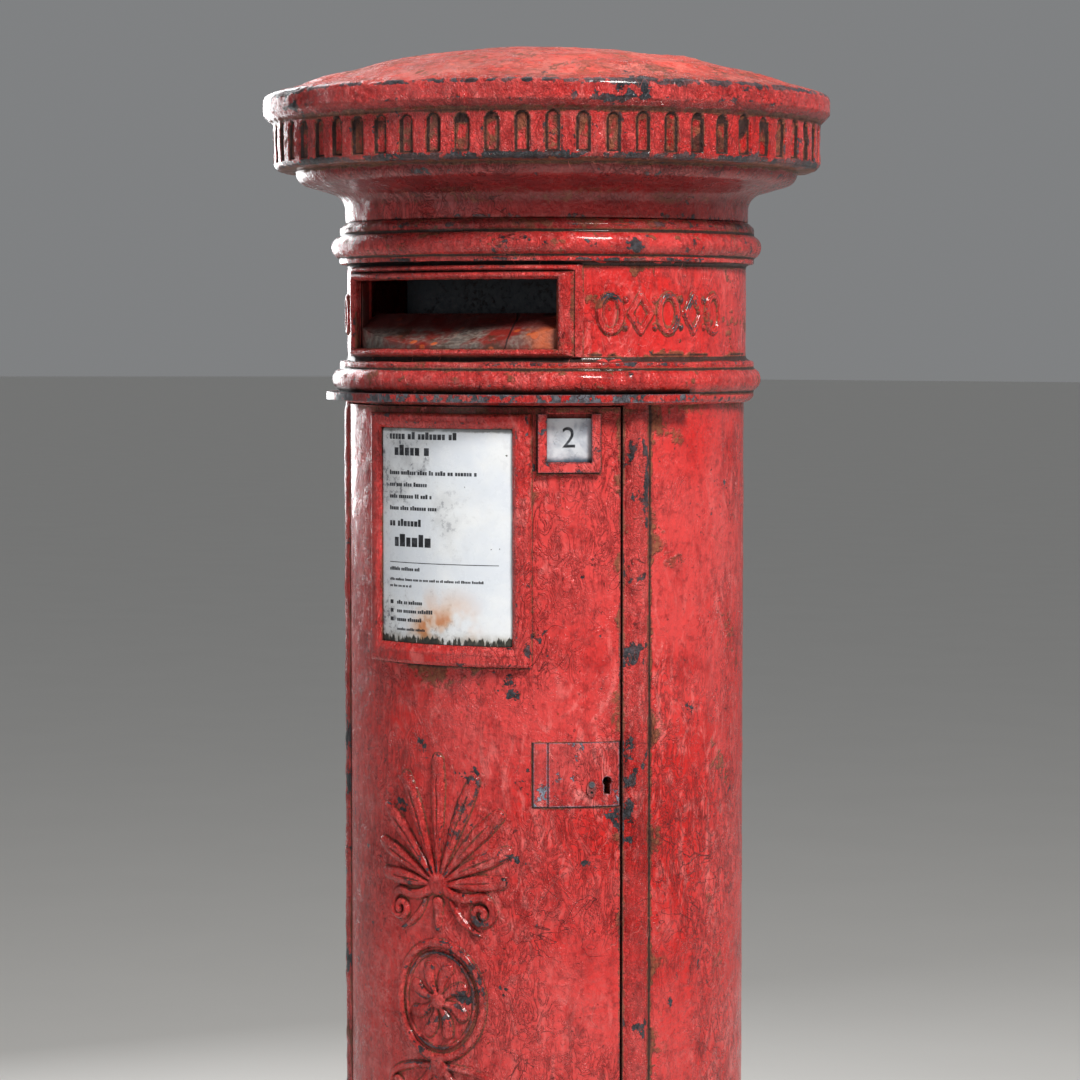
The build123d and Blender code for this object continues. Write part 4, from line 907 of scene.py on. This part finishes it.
# round-headed sunk panels; their angles match the structural cap
ang = np.degrees(np.arctan2(P0[..., 1], P0[..., 0])) - 3.0
loc = ((ang + 3.0) % 6.0) - 3.0
Xp = loc * math.pi / 180 * 263.6
num = np.round((ang - loc) / 6.0).astype(int) % 60
rng = np.random.RandomState(11)
wob, hob, dep = rng.uniform(-0.5, 0.5, 60)[num], rng.uniform(-1.2, 1.0, 60)[num], rng.uniform(0.75, 1.1, 60)[num]
zz = ZZ - ZL
head = 256.5 + hob
sd = np.where(zz > head, np.hypot(Xp, zz - head) - 6.7 - wob * 0.5, np.maximum(np.abs(Xp) - 6.7 - wob * 0.5, (227.4 + 0.5 * wob) - zz))
on = (zz > 223.5) & (zz < 268) & (RR > 255)
sd = np.where(on, sd, 5.0)
sunk = -3.0 * dep * smooth01((0.5 - sd) / 1.5)
wr, dt = relief_attrs(sunk, 2)
lum = lumps(P0)
dent = -1.1 * blot(P0, 95, 30, 0.5, 1.5) * (zz > 272) * (zz < 295)
limit = smooth01((273.3 - RR) / 5.0)
domey = smooth01((zz - 294) / 6.0)
lum = lum + (zz > 296) * (0.22 * F10(P0) + 0.16 * F6(P0)) * np.clip(F60(P0) + 0.6, 0, 1.2)
hh = sunk + lum * (1.0 + 1.5 * (RR > 255) * (zz < 275)) * np.maximum(limit, 0.0) + domey * 0.9 * (F60(P0) - 1.0) * smooth01((RR) / 60.0)
hh = hh + dent
hh = np.where((RR > 268) & (zz < 290), np.minimum(lum * 1.6 + dent, 0.0) - 0.15, hh)
hh = np.where(zz > 330, np.minimum(hh, 0.0), hh)
Pout = polar(U, RR + nr[None] * hh, ZZ + nz[None] * hh)
Pout[..., 2] = np.minimum(Pout[..., 2], ZL + 339.35)
ri, zi = profile((176.3, 1429.6), ((176.3, ZL + 150), 3.0), ((150, ZL + 150), 4.0), ((150, ZL + 186), 4.0), ((162, ZL + 200), 4.0), ((176, ZL + 208), 4.0),
                 ((228, ZL + 224), 5.0), ((248, ZL + 236), 5.0), ((248, ZL + 284), 5.0))
Ri = (248.0 ** 2 + 43.4 ** 2) / (2 * 43.4)
thi = np.linspace(math.asin(248.0 / Ri), 0, 30)[1:-1]
ri = np.concatenate([ri, Ri * np.sin(thi)]); zi = np.concatenate([zi, ZL + 327.4 - Ri * (1 - np.cos(thi))])
si = np.concatenate([[0], np.cumsum(np.hypot(np.diff(ri), np.diff(zi)))])
tt = np.linspace(0, si[-1], len(rs))
RI, ZI = np.interp(tt, si, ri), np.interp(tt, si, zi)
Pin = polar(U, np.broadcast_to(RI[None], U.shape), np.broadcast_to(ZI[None], U.shape))
wear = np.maximum(np.clip(vex * 6, 0, 0.75)[None] * np.ones_like(U), wr * 0.7)
dirt = np.maximum(np.clip(cave * 5, 0, 0.9)[None] * np.ones_like(U), dt)
inpan = smooth01((0.2 - sd) / 1.0)
dirt = np.maximum(dirt, inpan * rng.uniform(0.65, 1.30, 60)[num] * (0.74 + 0.26 * smooth01((zz - 240) / 20.0)) * np.clip(0.85 + 0.6 * F22(P0), 0.35, 1))
dirt = np.maximum(dirt, ((zz > 219) & (zz < 223) & (RR > 240)) * 0.8)
dirt = np.maximum(dirt, on * 1.1 * np.exp(-((sd + 0.3) / 0.9) ** 2))
dirt = np.maximum(dirt, 0.85 * np.exp(-((zz - 266.5) / 1.8) ** 2) * (RR > 262))
dirt = np.maximum(dirt, (zz > 294) * 0.78 * blot(P0, 81, 60, -0.1, 1.0) * blot(P0, 84, 9, -0.3, 0.5))
bare = 1.25 * np.exp(-((zz - 290.6) / 2.6) ** 2) * (RR > 262) * blot(P0, 86, 34, -0.9, 0.3)
bare += 1.2 * np.exp(-((zz - 224.0) / 2.6) ** 2) * (RR > 255) * blot(P0, 88, 30, -1.0, 0.1)
bare += 0.5 * blot(P0, 90, 30, 1.2, 1.9) * (RR > 235) + 0.6 * ((zz > 275) & (zz < 290)) * blot(P0, 92, 26, 1.3, 1.9)
crinkle = np.clip((RR - 256) / 4.0, 0, 1) * (zz > 221) * (zz < 296)
# painted shade: dark maroon on the cove and the frieze's underside beneath the cap, and a band just under the rim
shade = np.where(zz < 222.5, np.clip(0.48 + 0.52 * smooth01((zz - 178) / 12.0), 0, 1), 0.0) * (RR < 262)
shade = np.maximum(shade, 0.55 * np.exp(-((zz - 268) / 2.4) ** 2))
o = shell("cap_casting", Pout, Pin, None, wrap=True, apex=[(0, 0, ZL + 339.35), (0, 0, ZL + 327.4)], attrs={"wear": wear, "dirt": dirt, "bare": bare, "crinkle": crinkle, "shade": shade}, mat=RED)
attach(o, "shell"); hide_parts("cap")


# rectangular frames bent round the barrel
def bent_frame(name, loops, a0, body, node, mat, n_h, n_v, lump=1.0, extra=None, rough_amt=0.5):
    """loops: (half width, bottom, top, r side, r top, r bottom, wear, dirt), from the inner wall outwards round the front to the back."""
    rows, W, D = [], [], []
    for (x, zb, zt, rsd, rtp, rbt, wv, dv) in loops:
        pts = []
        def blend(t, L, a, b):
            e = np.clip(np.minimum(t, 1 - t) * L / 9.0, 0, 1)
            return b + (a - b) * smooth01(e)
        tb = np.linspace(0, 1, n_h + 1)[:-1]; tv = np.linspace(0, 1, n_v + 1)[:-1]
        xs = np.concatenate([-x + 2 * x * tb, np.full(n_v, x), x - 2 * x * tb, np.full(n_v, -x)])
        zz = np.concatenate([np.full(n_h, zb), zb + (zt - zb) * tv, np.full(n_h, zt), zt - (zt - zb) * tv])
        rr = np.concatenate([blend(tb, 2 * x, rbt, rsd), np.full(n_v, rsd), blend(tb, 2 * x, rtp, rsd), np.full(n_v, rsd)])
        rows.append(np.stack([xs, zz, rr], 1)); W.append(np.full(len(xs), wv)); D.append(np.full(len(xs), dv))
    G = np.array(rows)                      # loop, point, (x, z, r)
    if extra is not None:
        G = extra(G)
    x, z, r = G[..., 0], G[..., 1], G[..., 2]
    P = np.stack([x, -np.sqrt(r ** 2 - x ** 2), z], -1)
    r2 = r + lump * lumps(P) * (np.arange(len(loops))[:, None] > 0) * (np.arange(len(loops))[:, None] < len(loops) - 1)
    P = np.stack([x, -np.sqrt(r2 ** 2 - x ** 2), z], -1)
    ca, sa = math.cos(math.radians(a0)), math.sin(math.radians(a0))
    P = np.stack([P[..., 0] * ca - P[..., 1] * sa, P[..., 0] * sa + P[..., 1] * ca, P[..., 2]], -1)
    nl, npt = P.shape[:2]
    idx = np.arange(nl * npt).reshape(nl, npt)
    I, J = np.meshgrid(np.arange(nl), np.arange(npt), indexing="ij")
    a, b = idx[I, J], idx[I, (J + 1) % npt]
    c, d = idx[(I + 1) % nl, (J + 1) % npt], idx[(I + 1) % nl, J]
    q = np.stack([a.ravel(), d.ravel(), c.ravel(), b.ravel()], 1)
    o = build(name, P.reshape(-1, 3), q, None, {"wear": np.array(W), "dirt": np.array(D), "crinkle": np.full(np.array(W).shape, rough_amt)}, 44.0, mat)
    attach(o, body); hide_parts(node)
    return o


L = [(111.3, ZL + 51, ZL + 115, 190.9, 190.9, 190.9, 0, 0.4), (111.3, ZL + 51, ZL + 115, 195.2, 195.2, 195.2, 0.5, 0.3)]
for k in range(0, 13):
    t = k / 12
    s = math.sin(math.pi * (0.06 + 0.88 * t))
    L.append((111.5 + 11.6 * t, ZL + 50.8 - 6.6 * t, ZL + 115.2 + 6.8 * t, 195.0 + 5.6 * s, 195.0 + 4.6 * s, 195.0 + 5.0 * s, 0.6 if 0.02 < t < 0.3 else 0.15, 0.0 if 0.1 < t < 0.9 else 0.7))
L.append((123.4, ZL + 44.1, ZL + 122.3, 193.9, 193.7, 194.8, 0, 1.1))
for k in range(0, 8):
    t = k / 7
    s = math.sin(math.pi * (0.1 + 0.8 * t))
    L.append((124.0 + 4.4 * t, ZL + 44.0 - 0.4 * t, ZL + 122.8 + 5.0 * t, 194.9 + 1.0 * s, 195.0 + 4.6 * s, 195.0 - 0.3 * t, 0.3, 0.1))
L += [(128.8, ZL + 43.5, ZL + 128.0, 194.6, 194.8, 194.4, 0.5, 0.3), (129.0, ZL + 43.4, ZL + 128.0, 190.9, 190.9, 190.9, 0, 1.0)]
bent_frame("aperture_frame", L, 0.0, "shell", "aperture_surround", RED, 150, 44, 1.6, None, 0.95)

N0 = ZL - 125.0
L = [(71.5, ZL - 222.6, ZL - 22.4, 190.9, 190.9, 190.9, 0, 0.6), (71.6, ZL - 222.7, ZL - 22.3, 194.6, 194.6, 194.6, 0.3, 0.7)]
for k in range(0, 9):
    t = k / 8
    L.append((71.9 + 6.2 * t, ZL - 223.0 - 7.4 * t, ZL - 22.0 + 6.0 * t, 195.0 + 3.4 * math.sin(t * math.pi / 2), 195.0 + 3.4 * math.sin(t * math.pi / 2), 195.0 + 3.8 * math.sin(t * math.pi / 2), 0.25 + 0.3 * (t > 0.7), 0.3 * (t < 0.2)))
for k in range(1, 8):
    t = k / 7
    L.append((78.3 + 4.9 * t, ZL - 230.6 - 6.6 * t, ZL - 15.9 + 3.6 * t, 198.6, 198.6, 198.9, 0.1, 0))
for k in range(1, 8):
    t = k / 7
    L.append((83.2 + 3.8 * math.sin(t * math.pi / 2), ZL - 237.4 - 4.3 * math.sin(t * math.pi / 2), ZL - 12.2 + 3.9 * math.sin(t * math.pi / 2), 198.6 - 3.8 * (1 - math.cos(t * math.pi / 2)), 198.6 - 3.8 * (1 - math.cos(t * math.pi / 2)), 198.9 - 3.9 * (1 - math.cos(t * math.pi / 2)), 0.4, 0.0))
L += [(87.0, ZL - 241.7, ZL - 8.3, 190.9, 190.9, 190.9, 0, 1.0)]
bent_frame("notice_rim", L, 0.9, "door", "notice_frame", RED, 80, 110, 1.0, None, 0.42)


# ---------------------------------------------------------------- printed marks
def tiles(name, rects, place, depth, mat, body):
    """Thin raised tiles; rects are (x, z, width, height) in mm; place maps x, z, height to points."""
    P, Q = [], []
    for (x, z, w, h) in rects:
        n = max(1, int(math.ceil(w / 6.0)))
        xs = np.linspace(x, x + w, n + 1)
        b = len(P)
        for xx in xs:
            for zz in (z, z + h):
                P.append(place(xx, zz, depth)); P.append(place(xx, zz, -0.15))
        for i in range(n):
            a = b + 4 * i; c = a + 4
            Q += [(a, c, c + 2, a + 2), (a + 1, a + 3, c + 3, c + 1), (a, a + 1, c + 1, c), (a + 2, c + 2, c + 3, a + 3)]
        Q += [(b, b + 2, b + 3, b + 1)]
        e = b + 4 * n
        Q += [(e, e + 1, e + 3, e + 2)]
    o = build(name, np.array(P), Q, None, None, 30.0, mat)
    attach(o, body)
    return o


rng = np.random.RandomState(5)
rects = []


def greek(x0, zbase, size, length, words=None):
    """A row of blocks that stands in for a printed line."""
    x = x0
    while x < x0 + length:
        for _ in range(rng.randint(2, 8)):
            w = size * rng.uniform(0.40, 0.56)
            if x + w > x0 + length:
                return
            hgt = size * (0.92 if rng.rand() < 0.22 else 0.68)
            rects.append((x, zbase, w, hgt))
            x += w + size * 0.13
        x += size * 0.42


for zz, size, x0, ln in ((ZL - 33, 7.4, -62, 84), (ZL - 48, 10.6, -55, 46), (ZL - 66, 4.6, -62, 102), (ZL - 77, 4.4, -62, 50), (ZL - 88, 4.4, -62, 54), (ZL - 99, 4.4, -62, 62),
                         (ZL - 114, 7.2, -62, 44), (ZL - 133, 12.6, -55, 58), (ZL - 155.5, 3.6, -62, 40), (ZL - 165, 2.7, -62, 108), (ZL - 171, 2.7, -62, 30),
                         (ZL - 187, 4.0, -52, 34), (ZL - 195, 4.0, -52, 48), (ZL - 203, 4.0, -52, 34), (ZL - 211.5, 2.8, -52, 38)):
    greek(x0, zz, size, ln)
rects.append((-62, ZL - 148.2, 122, 0.7))
for zz in (ZL - 187, ZL - 195, ZL - 203):
    rects.append((-61.5, zz, 4.2, 3.6))


def on_plate(x, z, h):
    u = 0.9 + math.degrees(x / 193.1)
    a = math.radians(u)
    return ((193.1 + h) * math.sin(a), -(193.1 + h) * math.cos(a), z)


tiles("notice_print", rects, on_plate, 0.06, INK, "door")

# numeral on the tablet
cu = bpy.data.curves.new("tablet_numeral", "FONT")
cu.body = "2"
cu.align_x, cu.align_y = "CENTER", "CENTER"
cu.size = 0.027
cu.extrude = 0.0001
cu.resolution_u = 6
tmp = bpy.data.objects.new("tmp_numeral", cu)
bpy.context.scene.collection.objects.link(tmp)
me = bpy.data.meshes.new_from_object(tmp.evaluated_get(bpy.context.evaluated_depsgraph_get()))
bpy.data.objects.remove(tmp)
num = bpy.data.objects.new("tablet_numeral", me)
bpy.context.scene.collection.objects.link(num)
a = math.radians(38.0)
nrm, tan = Vector((math.sin(a), -math.cos(a), 0)), Vector((math.cos(a), math.sin(a), 0))
M4 = Matrix((tan, Vector((0, 0, 1)), nrm)).transposed().to_4x4()
M4.translation = nrm * 0.18846 + Vector((0, 0, (ZL - 31.0) * MM))
me.transform(M4)
me.materials.clear()
me.materials.append(INK)
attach(num, "tablet")


# ---------------------------------------------------------------- stage
def simple(name, rgb, rough):
    s = Mat(name)
    n = s.noise(3.0, 3, 0.5)
    return s.finish(s.mix(n, srgb(*rgb), srgb(*[min(255, c + 5) for c in rgb])), rough)


def plane(name, size, mat):
    me = bpy.data.meshes.new(name)
    h = size / 2
    me.from_pydata([(-h, -h, 0), (h, -h, 0), (h, h, 0), (-h, h, 0)], [], [(0, 1, 2, 3)])
    o = bpy.data.objects.new(name, me)
    bpy.context.scene.collection.objects.link(o)
    me.materials.append(mat)
    return o


plane("floor", 160.0, simple("floor_pale", (226, 224, 220), 0.75))

world = bpy.data.worlds.new("studio")
bpy.context.scene.world = world
world.use_nodes = True
bg = world.node_tree.nodes.get("Background") or world.node_tree.nodes.new("ShaderNodeBackground")
bg.inputs[0].default_value = (0.86, 0.88, 0.90, 1)
bg.inputs[1].default_value = 0.25
bpy.context.scene.view_settings.view_transform = "Standard"

CAM = Vector((1.7337, -2.7961, 1.3271))
AZ = math.radians(31.8)
RIGHT = Vector((math.cos(AZ), math.sin(AZ), 0))
BACK = Vector((math.sin(AZ), -math.cos(AZ), 0))


def area(name, right, back, up, target, size, size_y, power, color=(1, 1, 1)):
    li = bpy.data.lights.new(name, "AREA")
    li.shape = "RECTANGLE"
    li.size, li.size_y = size, size_y
    li.energy = power
    li.color = color
    o = bpy.data.objects.new(name, li)
    bpy.context.scene.collection.objects.link(o)
    o.location = RIGHT * right + BACK * back + Vector((0, 0, up))
    d = Vector(target) - o.location
    o.rotation_euler = d.to_track_quat("-Z", "Y").to_euler()
    return o


MID = (0, 0, 1.15)
area("key", 1.35, 2.3, 3.85, MID, 0.8, 0.8, 186, (1.0, 0.98, 0.95))
rim = area("rim_left", -1.15, -2.3, 2.0, (0, 0, 1.4), 0.9, 2.0, 46, (0.97, 0.98, 1.0))
rim.visible_camera = False
area("fill_left", -2.6, 2.2, 1.6, MID, 1.6, 2.0, 8, (0.95, 0.97, 1.0))
top = area("top", 0.3, -0.6, 3.6, (0, 0, 1.4), 1.4, 1.4, 14, (1, 1, 1))
side = area("side_right", 2.6, -1.2, 1.7, MID, 1.0, 2.6, 3, (1.0, 0.97, 0.95))
side.visible_camera = False

cam_data = bpy.data.cameras.new("camera")
cam = bpy.data.objects.new("camera", cam_data)
bpy.context.scene.collection.objects.link(cam)
bpy.context.scene.camera = cam
cam_data.sensor_width = 36.0
F_PX = 3386.0
cam_data.lens = 36.0 * F_PX / 1080.0
cam_data.clip_start, cam_data.clip_end = 0.05, 100.0
cam.location = CAM
pitch = math.atan2(540.0 - 331.4, F_PX)
yaw = math.atan2(6.6, F_PX)
fwd = Matrix.Rotation(yaw, 3, "Z") @ (-BACK)
look = (fwd * math.cos(pitch) + Vector((0, 0, -math.sin(pitch)))).normalized()
cam.rotation_euler = look.to_track_quat("-Z", "Y").to_euler()
